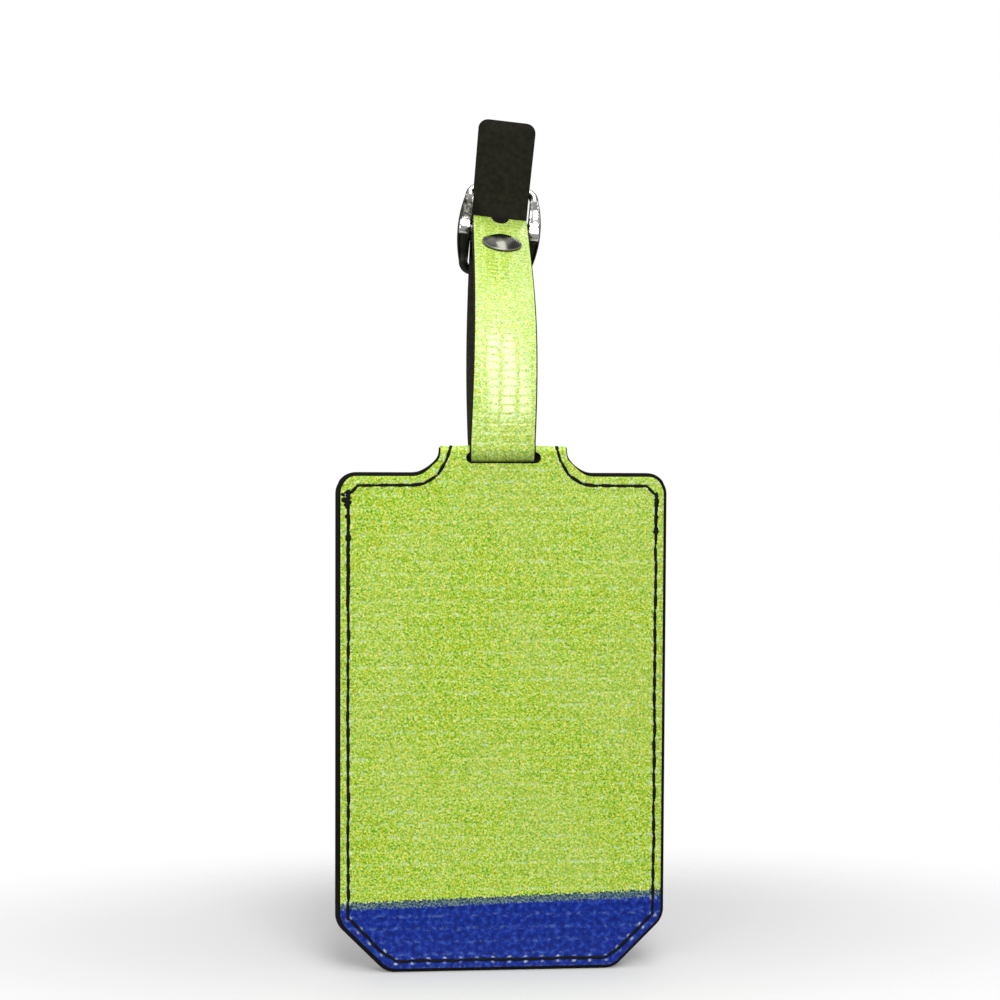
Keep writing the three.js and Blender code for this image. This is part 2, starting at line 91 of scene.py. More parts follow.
class Recipe:
    # A short way to add nodes: each call makes one node and returns its first output.

    def __init__(self, name, **shader):
        self.material = bpy.data.materials.new(name)
        self.material.use_nodes = True
        self.nodes = self.material.node_tree.nodes
        self.links = self.material.node_tree.links
        self.shader = self.nodes["Principled BSDF"]
        for socket, value in shader.items():
            self.shader.inputs[socket.replace("_", " ")].default_value = value

    def add(self, kind, inputs, output=0, **settings):
        node = self.nodes.new("ShaderNode" + kind)
        for key, value in settings.items():
            setattr(node, key, value)
        for socket, value in inputs.items():
            if isinstance(value, bpy.types.NodeSocket):
                self.links.new(value, node.inputs[socket])
            else:
                node.inputs[socket].default_value = value
        return node.outputs[output]

    def objectPlace(self):
        return self.add("TexCoord", {}, output="Object")

    def flatPlace(self):
        return self.add("UVMap", {}, uv_map="flat")

    def math(self, operation, first, second=0.0, third=0.0):
        return self.add("Math", {0: first, 1: second, 2: third}, operation=operation)

    def noise(self, place, scale, detail=2.0, roughness=0.5):
        inputs = {"Vector": place, "Scale": scale, "Detail": detail, "Roughness": roughness}
        return self.add("TexNoise", inputs)

    def remap(self, value, low, high, toLow=0.0, toHigh=1.0):
        inputs = {"Value": value, "From Min": low, "From Max": high, "To Min": toLow, "To Max": toHigh}
        return self.add("MapRange", inputs, interpolation_type="SMOOTHSTEP")

    def ramp(self, value, stops):
        output = self.add("ValToRGB", {"Fac": value})
        elements = output.node.color_ramp.elements
        elements[0].position, elements[0].color = stops[0]
        elements[1].position, elements[1].color = stops[-1]
        for position, colour in stops[1:-1]:
            elements.new(position).color = colour
        return output

    def mix(self, factor, first, second, blend="MIX"):
        inputs = {"Factor": factor, 6: first, 7: second}
        return self.add("Mix", inputs, output=2, data_type="RGBA", blend_type=blend)

    def bump(self, height, strength, distance):
        inputs = {"Height": height, "Strength": strength, "Distance": distance}
        return self.add("Bump", inputs)

    def use(self, socket, value):
        self.links.new(value, self.shader.inputs[socket])


# The printed sheet. Its pattern follows the flat cut sheet, whose coordinates are in centimetres.
sheetLook = {
    "grain": 24.0,
    "inkDots": 30.0,
    "dotStrength": 0.24,
    "tagWeave": (0.29, 0.275),
    "strapWeave": (0.36, 0.2),
    "bandHeight": -93.7,
    "bandSlope": 0.028,
    "bandJitter": 1.6,
    "bandFade": (0.8, 0.9),
    "bandEdge": (-0.7, -0.4),
    "threadGlint": 0.42,
    "reliefDepth": 0.06,
}


def weaveRelief(recipe, flat, pitch):
    # 1 in the middle of each cell of the scrim under the film, 0 along its threads, and the
    # same for the cross threads alone
    wander = recipe.noise(flat, 3.0, detail=1.0)
    split = recipe.add("SeparateXYZ", {"Vector": flat}).node
    cells = []
    for axis, size in zip("XY", pitch):
        shifted = recipe.math("MULTIPLY_ADD", wander, size * 0.5, split.outputs[axis])
        saw = recipe.math("PINGPONG", shifted, size / 2)
        cells.append(recipe.remap(saw, size * 0.04, size * 0.2))
    return recipe.math("MULTIPLY", cells[0], cells[1]), cells[1]


def inkSpeckle(recipe, place, scale, roughness, dot):
    # Fine grain with the ink's dots over it, 0.5 on average
    strength = sheetLook["dotStrength"]
    grain = recipe.noise(place, scale, detail=2.0, roughness=roughness)
    return recipe.math("MULTIPLY_ADD", dot, strength, recipe.math("SUBTRACT", grain, strength / 2))


def sheetMaterial(name, pitch, banded, specular, paleness):
    recipe = Recipe(name, IOR=1.5, Specular_IOR_Level=specular)
    flat = recipe.flatPlace()
    moved = recipe.add("Mapping", {"Vector": flat, "Location": (7.3, 2.1, 4.0)})
    dots = recipe.add("TexVoronoi", {"Vector": flat, "Scale": sheetLook["inkDots"]}, output="Color")
    dots = recipe.add("SeparateColor", {"Color": dots}).node
    speckle = inkSpeckle(recipe, flat, sheetLook["grain"], 0.65, dots.outputs[0])
    tint = inkSpeckle(recipe, moved, sheetLook["grain"] * 0.8, 0.6, dots.outputs[1])
    cloud = recipe.noise(flat, 0.5, detail=1.0)
    lime = recipe.ramp(
        speckle,
        [
            (0.32, linearColour(56, 108, 4)),
            (0.43, linearColour(138, 182, 22)),
            (0.55, linearColour(188, 216, 66)),
            (0.68, linearColour(240, 250, 180)),
        ],
    )
    hue = recipe.ramp(
        tint,
        [
            (0.38, linearColour(222, 206, 30)),
            (0.5, linearColour(172, 206, 54)),
            (0.6, linearColour(84, 178, 50)),
        ],
    )
    colour = recipe.mix(0.36, lime, hue)
    pale = recipe.remap(cloud, 0.35, 0.65, paleness, paleness + 0.14)
    colour = recipe.mix(pale, colour, linearColour(200, 216, 136))
    cells, rows = weaveRelief(recipe, flat, pitch)
    # Painted glints along the scrim's threads, broken up by noise
    broken = recipe.remap(recipe.noise(moved, 9.0, detail=2.0), 0.5, 0.64)
    broken = recipe.math("MULTIPLY", broken, sheetLook["threadGlint"])
    glintFlecks = recipe.math("MULTIPLY", recipe.math("SUBTRACT", 1.0, rows), broken)
    colour = recipe.mix(glintFlecks, colour, linearColour(214, 236, 200))
    if banded:
        colour = blueBand(recipe, flat, colour, speckle, glintFlecks)
        # Painted glints beside the needle holes
        holeGlint = recipe.add("Attribute", {}, output="Fac", attribute_name="holeGlint")
        colour = recipe.mix(holeGlint, colour, linearColour(212, 230, 214))
    fine = recipe.noise(flat, 60.0, detail=2.0)
    height = recipe.math("MULTIPLY_ADD", fine, 0.25, cells)
    recipe.use("Base Color", colour)
    recipe.use("Roughness", recipe.remap(cells, 0.0, 1.0, 0.6, 0.2))
    recipe.use("Normal", recipe.bump(height, 0.6, sheetLook["reliefDepth"] * mm))
    return recipe.material


def blueBand(recipe, flat, colour, speckle, glintFlecks):
    # The lower part of the tag is printed blue, with a dithered grey-green edge that slopes a little
    place = recipe.add("SeparateXYZ", {"Vector": recipe.objectPlace()}).node
    low = pivot.z + sheetLook["bandHeight"] * mm
    height = recipe.math("MULTIPLY_ADD", place.outputs["X"], -sheetLook["bandSlope"], place.outputs["Z"])
    jitter = recipe.math("MULTIPLY_ADD", speckle, sheetLook["bandJitter"] * mm, height)
    fade = recipe.remap(jitter, *(low + reach * mm for reach in sheetLook["bandFade"]))
    edge = recipe.remap(jitter, *(low + reach * mm for reach in sheetLook["bandEdge"]))
    mottle = recipe.noise(flat, 9.0, detail=3.0, roughness=0.6)
    blue = recipe.ramp(
        mottle,
        [
            (0.34, linearColour(8, 26, 108)),
            (0.52, linearColour(12, 42, 140)),
            (0.68, linearColour(44, 74, 172)),
        ],
    )
    # The same painted glints on the blue
    blue = recipe.mix(glintFlecks, blue, linearColour(96, 124, 190))
    grey = recipe.ramp(
        speckle,
        [
            (0.36, linearColour(26, 42, 74)),
            (0.5, linearColour(70, 100, 114)),
            (0.66, linearColour(124, 146, 136)),
        ],
    )
    lower = recipe.mix(edge, blue, grey)
    return recipe.mix(fade, lower, colour)


# The black parts: dark tone, light tone, roughness, pebble size and depth in millimetres, and gloss
blackLook = {
    "strapLining": ((38, 36, 30), (50, 48, 40), 0.85, 0.4, 0.05, 0.1),
    "boardEdge": ((8, 8, 7), (18, 17, 15), 0.6, 0.5, 0.05, 0.12),
    "panelGrain": ((22, 21, 19), (36, 34, 31), 0.55, 0.9, 0.14, 0.3),
}


def grainMaterial(name):
    dark, light, roughness, pebbleSize, depth, gloss = blackLook[name]
    recipe = Recipe(name, Specular_IOR_Level=gloss)
    place = recipe.objectPlace()
    mottle = recipe.noise(place, 0.3 / (pebbleSize * mm), detail=3.0)
    inputs = {"Vector": place, "Scale": 1 / (pebbleSize * mm), "Randomness": 1.0}
    pebble = recipe.add("TexVoronoi", inputs, feature="SMOOTH_F1")
    tones = [(0.35, linearColour(*dark)), (0.65, linearColour(*light))]
    recipe.use("Base Color", recipe.ramp(mottle, tones))
    recipe.use("Roughness", recipe.remap(mottle, 0.3, 0.7, roughness - 0.06, roughness + 0.06))
    recipe.use("Normal", recipe.bump(pebble, 0.5, depth * mm))
    return recipe.material


def metalMaterial(name, bright, dullAndShaded, roughness, wornScale):
    # Plating with painted shade where it faces down, and darker where it is worn
    recipe = Recipe(name, Metallic=1.0)
    place = recipe.objectPlace()
    wear = recipe.noise(place, wornScale, detail=4.0, roughness=0.6)
    # Painted shade: the colour is darker where the surface faces down
    facing = recipe.add("SeparateXYZ", {"Vector": recipe.add("NewGeometry", {}, output="Normal")}).node
    shade = recipe.remap(facing.outputs["Z"], -0.35, 0.1)
    shade = recipe.math("MULTIPLY", shade, 0.86)
    amount = recipe.math("MULTIPLY_ADD", recipe.remap(wear, 0.4, 0.6), 0.16, shade)
    recipe.use("Base Color", recipe.ramp(amount, [(0.0, dullAndShaded), (1.0, bright)]))
    recipe.use("Roughness", recipe.remap(wear, 0.3, 0.7, roughness - 0.06, roughness + 0.1))
    recipe.use("Normal", recipe.bump(wear, 0.15, 0.00008))
    return recipe.material


def patinaAndShadeMaterial(name, bright, dark):
    # Cast metal, polished on its ridges; a vertex attribute darkens it where it is patinated in its
    # recesses and with painted shade on its lower half and inner side
    recipe = Recipe(name, Metallic=1.0)
    place = recipe.objectPlace()
    wear = recipe.noise(place, 1500.0, detail=3.0, roughness=0.6)
    patinaAndShade = recipe.add("Attribute", {}, output="Fac", attribute_name="patinaAndShade")
    amount = recipe.math("MULTIPLY_ADD", wear, 0.5, recipe.math("SUBTRACT", patinaAndShade, 0.25))
    recipe.use("Base Color", recipe.ramp(amount, [(0.25, bright), (0.75, dark)]))
    recipe.use("Roughness", recipe.remap(amount, 0.2, 0.8, 0.16, 0.42))
    recipe.use("Normal", recipe.bump(wear, 0.3, 0.00008))
    return recipe.material


def threadMaterial():
    recipe = Recipe("boundThread", Specular_IOR_Level=0.15)
    place = recipe.objectPlace()
    fuzz = recipe.noise(place, 6000.0, detail=2.0)
    tones = [(0.35, (0.001, 0.001, 0.001, 1)), (0.7, (0.007, 0.007, 0.007, 1))]
    recipe.use("Base Color", recipe.ramp(fuzz, tones))
    recipe.use("Roughness", recipe.remap(fuzz, 0.3, 0.7, 0.5, 0.75))
    recipe.use("Normal", recipe.bump(fuzz, 0.4, 0.00005))
    return recipe.material


def filmMaterial():
    recipe = Recipe("clearFilm", Alpha=0.22, IOR=1.5, Base_Color=(0.9, 0.94, 0.95, 1))
    haze = recipe.noise(recipe.objectPlace(), 180.0, detail=3.0)
    recipe.use("Roughness", recipe.remap(haze, 0.35, 0.65, 0.06, 0.2))
    recipe.use("Normal", recipe.bump(haze, 0.25, 0.0002))
    return recipe.material


def cardMaterial():
    # Uncoated card with faint ruled lines for an address
    recipe = Recipe("addressCard", Roughness=0.85)
    place = recipe.objectPlace()
    height = recipe.add("SeparateXYZ", {"Vector": place}).node.outputs["Z"]
    saw = recipe.math("PINGPONG", height, 0.0045)
    rule = recipe.remap(saw, 0.00012, 0.0002)
    fibre = recipe.noise(place, 2500.0, detail=3.0)
    paper = recipe.ramp(fibre, [(0.3, linearColour(228, 225, 214)), (0.7, linearColour(244, 242, 234))])
    recipe.use("Base Color", recipe.mix(rule, linearColour(150, 160, 172), paper))
    recipe.use("Normal", recipe.bump(fibre, 0.2, 0.00003))
    return recipe.material


tagSheet = sheetMaterial("printedSheetTag", sheetLook["tagWeave"], True, 0.24, 0.0)
strapSheet = sheetMaterial("printedSheetStrap", sheetLook["strapWeave"], False, 1.0, 0.05)
liningBlack = grainMaterial("strapLining")
boardBlack = grainMaterial("boardEdge")
panelBlack = grainMaterial("panelGrain")
castMetal = patinaAndShadeMaterial("castMetal", (0.85, 0.84, 0.8, 1), (0.05, 0.049, 0.04, 1))
plainSteel = metalMaterial("platedSteel", (0.55, 0.55, 0.53, 1), (0.12, 0.12, 0.11, 1), 0.28, 600.0)
gunMetal = metalMaterial("gunMetal", (0.11, 0.11, 0.095, 1), (0.05, 0.05, 0.045, 1), 0.22, 300.0)
boundThread = threadMaterial()
clearFilm = filmMaterial()
addressCard = cardMaterial()
print("materials made")


def shadeByAngle(bm, degrees):
    limit = math.radians(degrees)
    for face in bm.faces:
        face.smooth = True
    for edge in bm.edges:
        edge.smooth = len(edge.link_faces) != 2 or edge.calc_face_angle(0.0) < limit


def finishPiece(name, bm, materials, body, replaced, sharpAngle=40):
    # The bmesh is in millimetres from the hinge line
    bmesh.ops.remove_doubles(bm, verts=bm.verts, dist=0.002)
    bmesh.ops.recalc_face_normals(bm, faces=bm.faces)
    shadeByAngle(bm, sharpAngle)
    bmesh.ops.scale(bm, vec=(mm, mm, mm), verts=bm.verts)
    bmesh.ops.translate(bm, vec=pivot, verts=bm.verts)
    mesh = bpy.data.meshes.new(name)
    bm.to_mesh(mesh)
    bm.free()
    for material in materials:
        mesh.materials.append(material)
    piece = bpy.data.objects.new(name, mesh)
    bpy.context.scene.collection.objects.link(piece)
    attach(piece, body)
    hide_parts(*replaced)


def sharpEdges(bm, degrees):
    limit = math.radians(degrees)
    return [e for e in bm.edges if len(e.link_faces) == 2 and e.calc_face_angle(0.0) > limit]


def bevelSharp(bm, degrees, width, segments=2):
    bmesh.ops.bevel(
        bm,
        geom=sharpEdges(bm, degrees),
        offset=width,
        offset_type="OFFSET",
        affect="EDGES",
        segments=segments,
        profile=0.5,
        material=-1,
        clamp_overlap=True,
    )


def storeFlatPlace(bm):
    # Keeps the flat sheet's coordinates in centimetres, and gives its cut edges the edge paint
    flatLayer = bm.loops.layers.uv.new("flat")
    bm.normal_update()
    for face in bm.faces:
        face.material_index = int(abs(face.normal.z) < 0.95)
        for loop in face.loops:
            loop[flatLayer].uv = (loop.vert.co.x / 10, loop.vert.co.y / 10)


def softenedCopy(node):
    # A merged copy of a CAD node in millimetres, with its flat faces whole again
    bm = bmesh.new()
    bm.from_mesh(frame["nodes"][node].data)
    bmesh.ops.translate(bm, vec=-pivot, verts=bm.verts)
    bmesh.ops.scale(bm, vec=(1 / mm, 1 / mm, 1 / mm), verts=bm.verts)
    bmesh.ops.remove_doubles(bm, verts=bm.verts, dist=0.005)
    bmesh.ops.dissolve_limit(bm, angle_limit=math.radians(1), verts=bm.verts, edges=bm.edges)
    return bm


def cutFaces(bm, faces, direction, places):
    # Cuts faces at each place along a direction, and returns what they became
    for place in places:
        geom = list(faces)
        geom += {edge for face in faces for edge in face.edges}
        geom += {vert for face in faces for vert in face.verts}
        at = Vector(direction) * place
        result = bmesh.ops.bisect_plane(bm, geom=geom, dist=1e-4, plane_co=at, plane_no=direction)
        faces = [part for part in result["geom"] if isinstance(part, bmesh.types.BMFace)]
    return faces


# The outline of the tag, which the cover, the board and the seams share
boardLow, boardHigh = (fromPivot(corner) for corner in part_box("inner_board"))
coverHigh = fromPivot(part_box("folded_cover")[1])
panelHigh = fromPivot(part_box("pocket_panel")[1])
tagShape = {
    "side": boardHigh.x,
    "bottom": boardLow.z,
    "neck": 14.1,
    "shoulder": -5.0,
    "shoulderRadius": 4.2,
    "filletRadius": 4.8,
    "chamferLeg": 10.6,
    "chamferRadius": 5.0,
    "foldZ": -0.6,
    "foldRadius": coverHigh.y,
}
foldLength = math.pi * tagShape["foldRadius"]
seam = {
    "inset": 2.5,
    "pitch": 3.4,
    "threadHalfWidth": 0.37,
    "threadHalfHeight": 0.27,
    "threadSag": 0.45,
    "overlap": 0.12,
    "sunk": 0.06,
    "wander": 0.16,
    "topZ": 0.1,
    "foldHoles": ((28, 0.45), (66, 0.62)),
}


def rimStations(spacing, topZ):
    # Points down the right side from the neck to the middle of the bottom: place, inward direction,
    # and the distance along the seam from the middle of the bottom
    side, bottom, shoulder = tagShape["side"], tagShape["bottom"], tagShape["shoulder"]
    neck, fillet, corner = tagShape["neck"], tagShape["filletRadius"], tagShape["shoulderRadius"]
    leg, bend = tagShape["chamferLeg"], tagShape["chamferRadius"]
    run = bend * math.tan(math.pi / 8)
    upper = Vector((side - bend, bottom + leg + run))
    lower = Vector((side - leg - run, bottom + bend))
    slant = Vector((1, -1)).normalized()
    stretches = [
        ("line", Vector((neck, topZ)), Vector((neck, shoulder + fillet)), Vector((-1, 0))),
        ("arc", Vector((neck + fillet, shoulder + fillet)), fillet, (180, 270), 1),
        ("line", Vector((neck + fillet, shoulder)), Vector((side - corner, shoulder)), Vector((0, -1))),
        ("arc", Vector((side - corner, shoulder - corner)), corner, (90, 0), -1),
        ("line", Vector((side, shoulder - corner)), Vector((side, upper.y)), Vector((-1, 0))),
        ("arc", upper, bend, (0, -45), -1),
        ("line", upper + slant * bend, lower + slant * bend, -slant),
        ("arc", lower, bend, (-45, -90), -1),
        ("line", Vector((lower.x, bottom)), Vector((0, bottom)), Vector((0, 1))),
    ]
    stations = []
    for kind, first, second, third, *sign in stretches:
        if kind == "line":
            length = (second - first).length
        else:
            length = second * math.radians(abs(third[1] - third[0]))
        steps = max(1, math.ceil(length / spacing))
        for step in range(steps):
            share = step / steps
            if kind == "line":
                place, inward = first.lerp(second, share), third
            else:
                angle = math.radians(third[0] + (third[1] - third[0]) * share)
                spoke = Vector((math.cos(angle), math.sin(angle)))
                place, inward = first + spoke * second, spoke * sign[0]
            stations.append((place, inward))
    stations.append((Vector((0, bottom)), Vector((0, 1))))
    walked = 0.0
    measured = [(*stations[-1], walked)]
    for place, inward in reversed(stations[:-1]):
        before = measured[-1][0] + measured[-1][1] * seam["inset"]
        walked += (place + inward * seam["inset"] - before).length
        measured.append((place, inward, walked))
    return measured[::-1]


def insetOf(x, z):
    # How far a point of the tag lies inside its rim
    x = abs(x)
    side, bottom, shoulder = tagShape["side"], tagShape["bottom"], tagShape["shoulder"]
    neck, fillet = tagShape["neck"], tagShape["filletRadius"]
    slanted = (side - x + z - bottom - tagShape["chamferLeg"]) / math.sqrt(2)
    inside = min(side - x, z - bottom, slanted)
    if z > shoulder + fillet:
        return min(inside, neck - x)
    if x < neck + fillet:
        return min(inside, math.hypot(x - neck - fillet, z - shoulder - fillet) - fillet)
    return min(inside, shoulder - z)


# Folded cover: cut flat as a quarter, mirrored twice, embossed by its seam, then bent over the neck
coverSheet = {
    "inset": 0.8,
    "edgeRound": ((0.0, 0.14), (0.04, 0.05), (0.13, 0.0)),
    "seamRows": (1.3, 1.65, 1.9, 2.08, 2.25, 2.38, 2.5, 2.62, 2.75, 2.92, 3.1, 3.4, 3.8),
    "shoulderReach": 0.54,
    "neckTrim": 0.62,
    "thickness": 0.6,
    "shift": 0.2,
    "spacing": 0.36,
    "slotHalfWidth": 7.7,
    "slotBottom": -2.75,
    "grid": 2.2,
    "foldStep": 0.34,
    "channelDepth": 0.13,
    "channelHalfWidth": 0.3,
    "ridgeHeight": 0.04,
    "ridgeReach": 0.85,
    "ridgeWidth": 0.5,
    "lipHeight": 0.15,
    "lipWidth": 0.22,
    "lipReach": 0.58,
    "glintLength": 0.26,
    "glintFrom": (0.3, 0.45),
    "glintTo": (0.6, 0.7),
    "holeDepth": 0.2,
    "holeRadius": 0.3,
    "pillow": 0.14,
    "pillowReach": (0.3, 5.0),
    "waves": 0.1,
    "waveReach": (4, 14),
}


def growRows(bm, edges, rows, layers):
    # Extrudes a chain of edges through rows of (inset, height), each vertex along its own inward line
    base, inward = layers
    for inset, height in rows:
        grown = bmesh.ops.extrude_edge_only(bm, edges=edges)["geom"]
        fresh = {part for part in grown if isinstance(part, bmesh.types.BMVert)}
        for vert in fresh:
            place = vert[base] + vert[inward] * inset
            vert.co = (place.x, place.y, height)
        edges = [part for part in grown if isinstance(part, bmesh.types.BMEdge)]
        edges = [edge for edge in edges if all(vert in fresh for vert in edge.verts)]
    return edges


def chainOf(bm, stations, inset, height, layers, alongLayer):
    verts = []
    for place, inward, along in stations:
        spot = place + inward * inset
        vert = bm.verts.new((spot.x, spot.y, height))
        vert[layers[0]] = (place.x, place.y, 0)
        vert[layers[1]] = (inward.x, inward.y, 0)
        vert[alongLayer] = along
        verts.append(vert)
    return [bm.edges.new(pair) for pair in zip(verts, verts[1:])]


def chainEnds(edges):
    ends = [v for e in edges for v in e.verts if sum(v in other.verts for other in edges) == 1]
    return sorted(ends, key=lambda vert: vert.co.y)


def slotStations():
    # Half of the slot, from its lower edge's middle to its upper edge's middle
    radius = -(coverSheet["slotBottom"] - tagShape["foldZ"]) / 2
    centre = Vector((coverSheet["slotHalfWidth"] - radius, -radius))
    stations = [(Vector((0, -2 * radius)), Vector((0, -1)), 0.0)]
    for step in range(9):
        angle = math.radians(-90 + 22.5 * step)
        spoke = Vector((math.cos(angle), math.sin(angle)))
        stations.append((centre + spoke * radius, spoke, 0.0))
    stations.append((Vector((0, 0)), Vector((0, 1)), 0.0))
    return stations


def closeQuarter(bm, rim, slot):
    # Fills the flat between the last row of the rim and the slot
    rimLow, rimHigh = chainEnds(rim)
    slotLow, slotHigh = chainEnds(slot)
    corner = bm.verts.new((0, foldLength / 2, slotHigh.co.z))
    edges = [bm.edges.new(pair) for pair in ((rimLow, slotLow), (slotHigh, corner), (corner, rimHigh))]
    return bmesh.ops.contextual_create(bm, geom=rim + slot + edges)["faces"]


def coverRelief(x, s, along):
    # How far the outer skin stands above or below flat, and how strong the painted glint beside each needle
    # hole is
    z = min(s, 0.0) + tagShape["foldZ"]
    inset = insetOf(x, z)
    away = inset - seam["inset"]
    rise = -coverSheet["channelDepth"] * bell(away, coverSheet["channelHalfWidth"])
    rise += coverSheet["pillow"] * smoothStep(away, *coverSheet["pillowReach"])
    rise += coverSheet["ridgeHeight"] * bell(away + coverSheet["ridgeReach"], coverSheet["ridgeWidth"])
    inner = smoothStep(inset, *coverSheet["waveReach"])
    rise += coverSheet["waves"] * inner * noise.noise(Vector((x * 0.06, s * 0.05, 3.7)))
    lipAndGlint = 0.0
    if abs(away) < 1.2 and s < 0:
        toHole = ((along / seam["pitch"]) % 1.0 - 0.5) * seam["pitch"]
        reach = math.hypot(away, toHole)
        lipAndGlint = bell(reach - coverSheet["lipReach"], coverSheet["lipWidth"])
        rise += coverSheet["lipHeight"] * lipAndGlint
        rise -= coverSheet["holeDepth"] * bell(reach, coverSheet["holeRadius"])
        # From here on it only shapes the painted glint beside the hole
        lipAndGlint *= bell(toHole, coverSheet["glintLength"])
        lipAndGlint *= smoothStep(abs(away), *coverSheet["glintFrom"])
        lipAndGlint *= 1 - smoothStep(abs(away), *coverSheet["glintTo"])
        lipAndGlint *= max(noise.noise(Vector((x, s, 0.4))) + 0.6, 0)
    return rise, lipAndGlint


def bentOverFold(x, s, height):
    # The flat sheet's place once it is folded over the board: front, round the fold, then back
    reach = tagShape["foldRadius"] - coverSheet["thickness"] + height
    x += coverSheet["shift"]
    if s <= 0:
        return Vector((x, -reach, tagShape["foldZ"] + s))
    if s >= foldLength:
        return Vector((x, reach, tagShape["foldZ"] - (s - foldLength)))
    angle = s / tagShape["foldRadius"]
    return Vector((x, -reach * math.cos(angle), tagShape["foldZ"] + reach * math.sin(angle)))


def foldedCover():
    bm = bmesh.new()
    layers = (bm.verts.layers.float_vector.new("base"), bm.verts.layers.float_vector.new("inward"))
    alongLayer = bm.verts.layers.float.new("along")
    holeGlint = bm.verts.layers.float.new("holeGlint")
    thick = coverSheet["thickness"]
    stations = []
    for place, inward, along in rimStations(coverSheet["spacing"], foldLength / 2 + tagShape["foldZ"]):
        stations.append((place - Vector((0, tagShape["foldZ"])), inward, along))
    inner = chainOf(bm, stations, coverSheet["inset"], 0.0, layers, alongLayer)
    rows = [(coverSheet["inset"] + further, thick - below) for further, below in coverSheet["edgeRound"]]
    rows += [(inset, thick) for inset in coverSheet["seamRows"]]
    outer = growRows(bm, inner, rows, layers)
    for vert in bm.verts:
        # The sheet is cut closer to the board's edge along the shoulders, and narrower at the neck
        if (vert.co.xy - vert[layers[0]].xy).length < 1.0:
            s = vert.co.y
            closer = coverSheet["shoulderReach"] * smoothStep(s, -7.4, -4.0)
            closer -= coverSheet["neckTrim"] * smoothStep(s, -3.4, -0.9)
            vert.co.xy -= vert[layers[1]].xy * closer
    slotInner = chainOf(bm, slotStations(), 0.0, 0.0, layers, alongLayer)
    slotOuter = growRows(bm, slotInner, [(0.0, thick - 0.1), (0.03, thick - 0.03), (0.1, thick)], layers)
    skin = closeQuarter(bm, outer, slotOuter)
    back = closeQuarter(bm, inner, slotInner)
    foldStep, grid = coverSheet["foldStep"], coverSheet["grid"]
    foldCuts = [foldStep * step for step in range(-8, int(foldLength / 2 / foldStep) + 1)]
    wallCuts = [-grid * step for step in range(2, int(-tagShape["bottom"] / grid))]
    skin = cutFaces(bm, skin, (0, 1, 0), foldCuts + wallCuts)
    cutFaces(bm, skin, (1, 0, 0), [grid * step for step in range(1, 15)])
    cutFaces(bm, back, (0, 1, 0), foldCuts)
    everything = bm.verts[:] + bm.edges[:] + bm.faces[:]
    bmesh.ops.mirror(bm, geom=everything, matrix=Matrix.Identity(4), merge_dist=0.001, axis="X")
    bmesh.ops.translate(bm, vec=(0, -foldLength / 2, 0), verts=bm.verts)
    everything = bm.verts[:] + bm.edges[:] + bm.faces[:]
    bmesh.ops.mirror(bm, geom=everything, matrix=Matrix.Identity(4), merge_dist=0.001, axis="Y")
    bmesh.ops.translate(bm, vec=(0, foldLength / 2, 0), verts=bm.verts)
    storeFlatPlace(bm)
    for vert in bm.verts:
        x, s, height = vert.co
        if height > thick - 0.02:
            rise, lipAndGlint = coverRelief(x, min(s, foldLength - s), vert[alongLayer])
            height += rise
            # The painted glint beside each needle hole
            vert[holeGlint] = min(lipAndGlint, 0.9)
        vert.co = bentOverFold(x, s, height)
    skins = [tagSheet, boardBlack]
    finishPiece("foldedCover", bm, skins, "tag", ["folded_cover"], 50)


foldedCover()
print("cover folded")


board = {
    "slotReach": 8.6,
    "slotFloor": -2.9,
    "slotMiddle": -1.7,
    "slotNarrowing": 0.88,
    "slotLift": 0.14,
    "neckReach": 19.5,
    "neckTrims": (0.88, 0.6),
    "neckHeights": (-4.7, -1.2),
    "neckRise": 0.4,
    "shoulderRise": 0.22,
    "edgeRound": 0.28,
}
pocket = {
    "panelRound": 0.16,
    "filmRound": 0.05,
    "cardRound": 0.06,
}


def innerBoard():
    # The board is cut closer to the strap than the sheet's slot, and reaches up to the fold
    bm = softenedCopy("inner_board")
    for vert in bm.verts:
        x, z = vert.co.x, vert.co.z
        if abs(x) < board["slotReach"] and z > board["slotFloor"]:
            vert.co.x = x * board["slotNarrowing"]
            if z < board["slotMiddle"]:
                vert.co.z = z + board["slotLift"]
        elif abs(x) < board["neckReach"]:
            trim = board["neckTrims"][x > 0] * smoothStep(z, *board["neckHeights"])
            vert.co.x = x - math.copysign(trim, x)
        if z > tagShape["shoulder"] - 2:
            vert.co.z += board["neckRise"] if z > -0.9 else board["shoulderRise"]
    bevelSharp(bm, 50, board["edgeRound"], 3)
    finishPiece("innerBoard", bm, [boardBlack], "tag", ["inner_board"], 35)


def roundedPiece(name, node, material, body, width, segments):
    # A piece whose CAD shape only needs its edges rounded
    bm = softenedCopy(node)
    bevelSharp(bm, 50, width, segments)
    finishPiece(name, bm, [material], body, [node], 35)


innerBoard()
roundedPiece("pocketPanel", "pocket_panel", panelBlack, "tag", pocket["panelRound"], 2)
roundedPiece("windowFilm", "window_film", clearFilm, "tag", pocket["filmRound"], 1)
roundedPiece("pocketCard", "address_card", addressCard, "card", pocket["cardRound"], 1)
print("board, pocket and card made")


def stitch(bm, start, end, outward, halfWidth, halfHeight):
    # One thread lying from start to end, blunt at its ends
    across = (end - start).cross(outward).normalized()
    middle = (start + end) / 2
    reach = (end - start).length / 2 + seam["overlap"]
    made = bmesh.ops.create_uvsphere(bm, u_segments=8, v_segments=6, radius=1)["verts"]
    direction = (end - start).normalized()
    for vert in made:
        ring = math.hypot(vert.co.x, vert.co.y)
        fuller = ring ** -0.55 if ring > 1e-4 else 1.0
        sideways, upwards, along = vert.co.x * fuller, vert.co.y * fuller, vert.co.z
        sag = halfHeight * seam["threadSag"] * abs(along) ** 6
        vert.co = (
            middle
            + across * (sideways * halfWidth)
            + outward * (upwards * halfHeight - sag)
            + direction * (along * reach)
        )


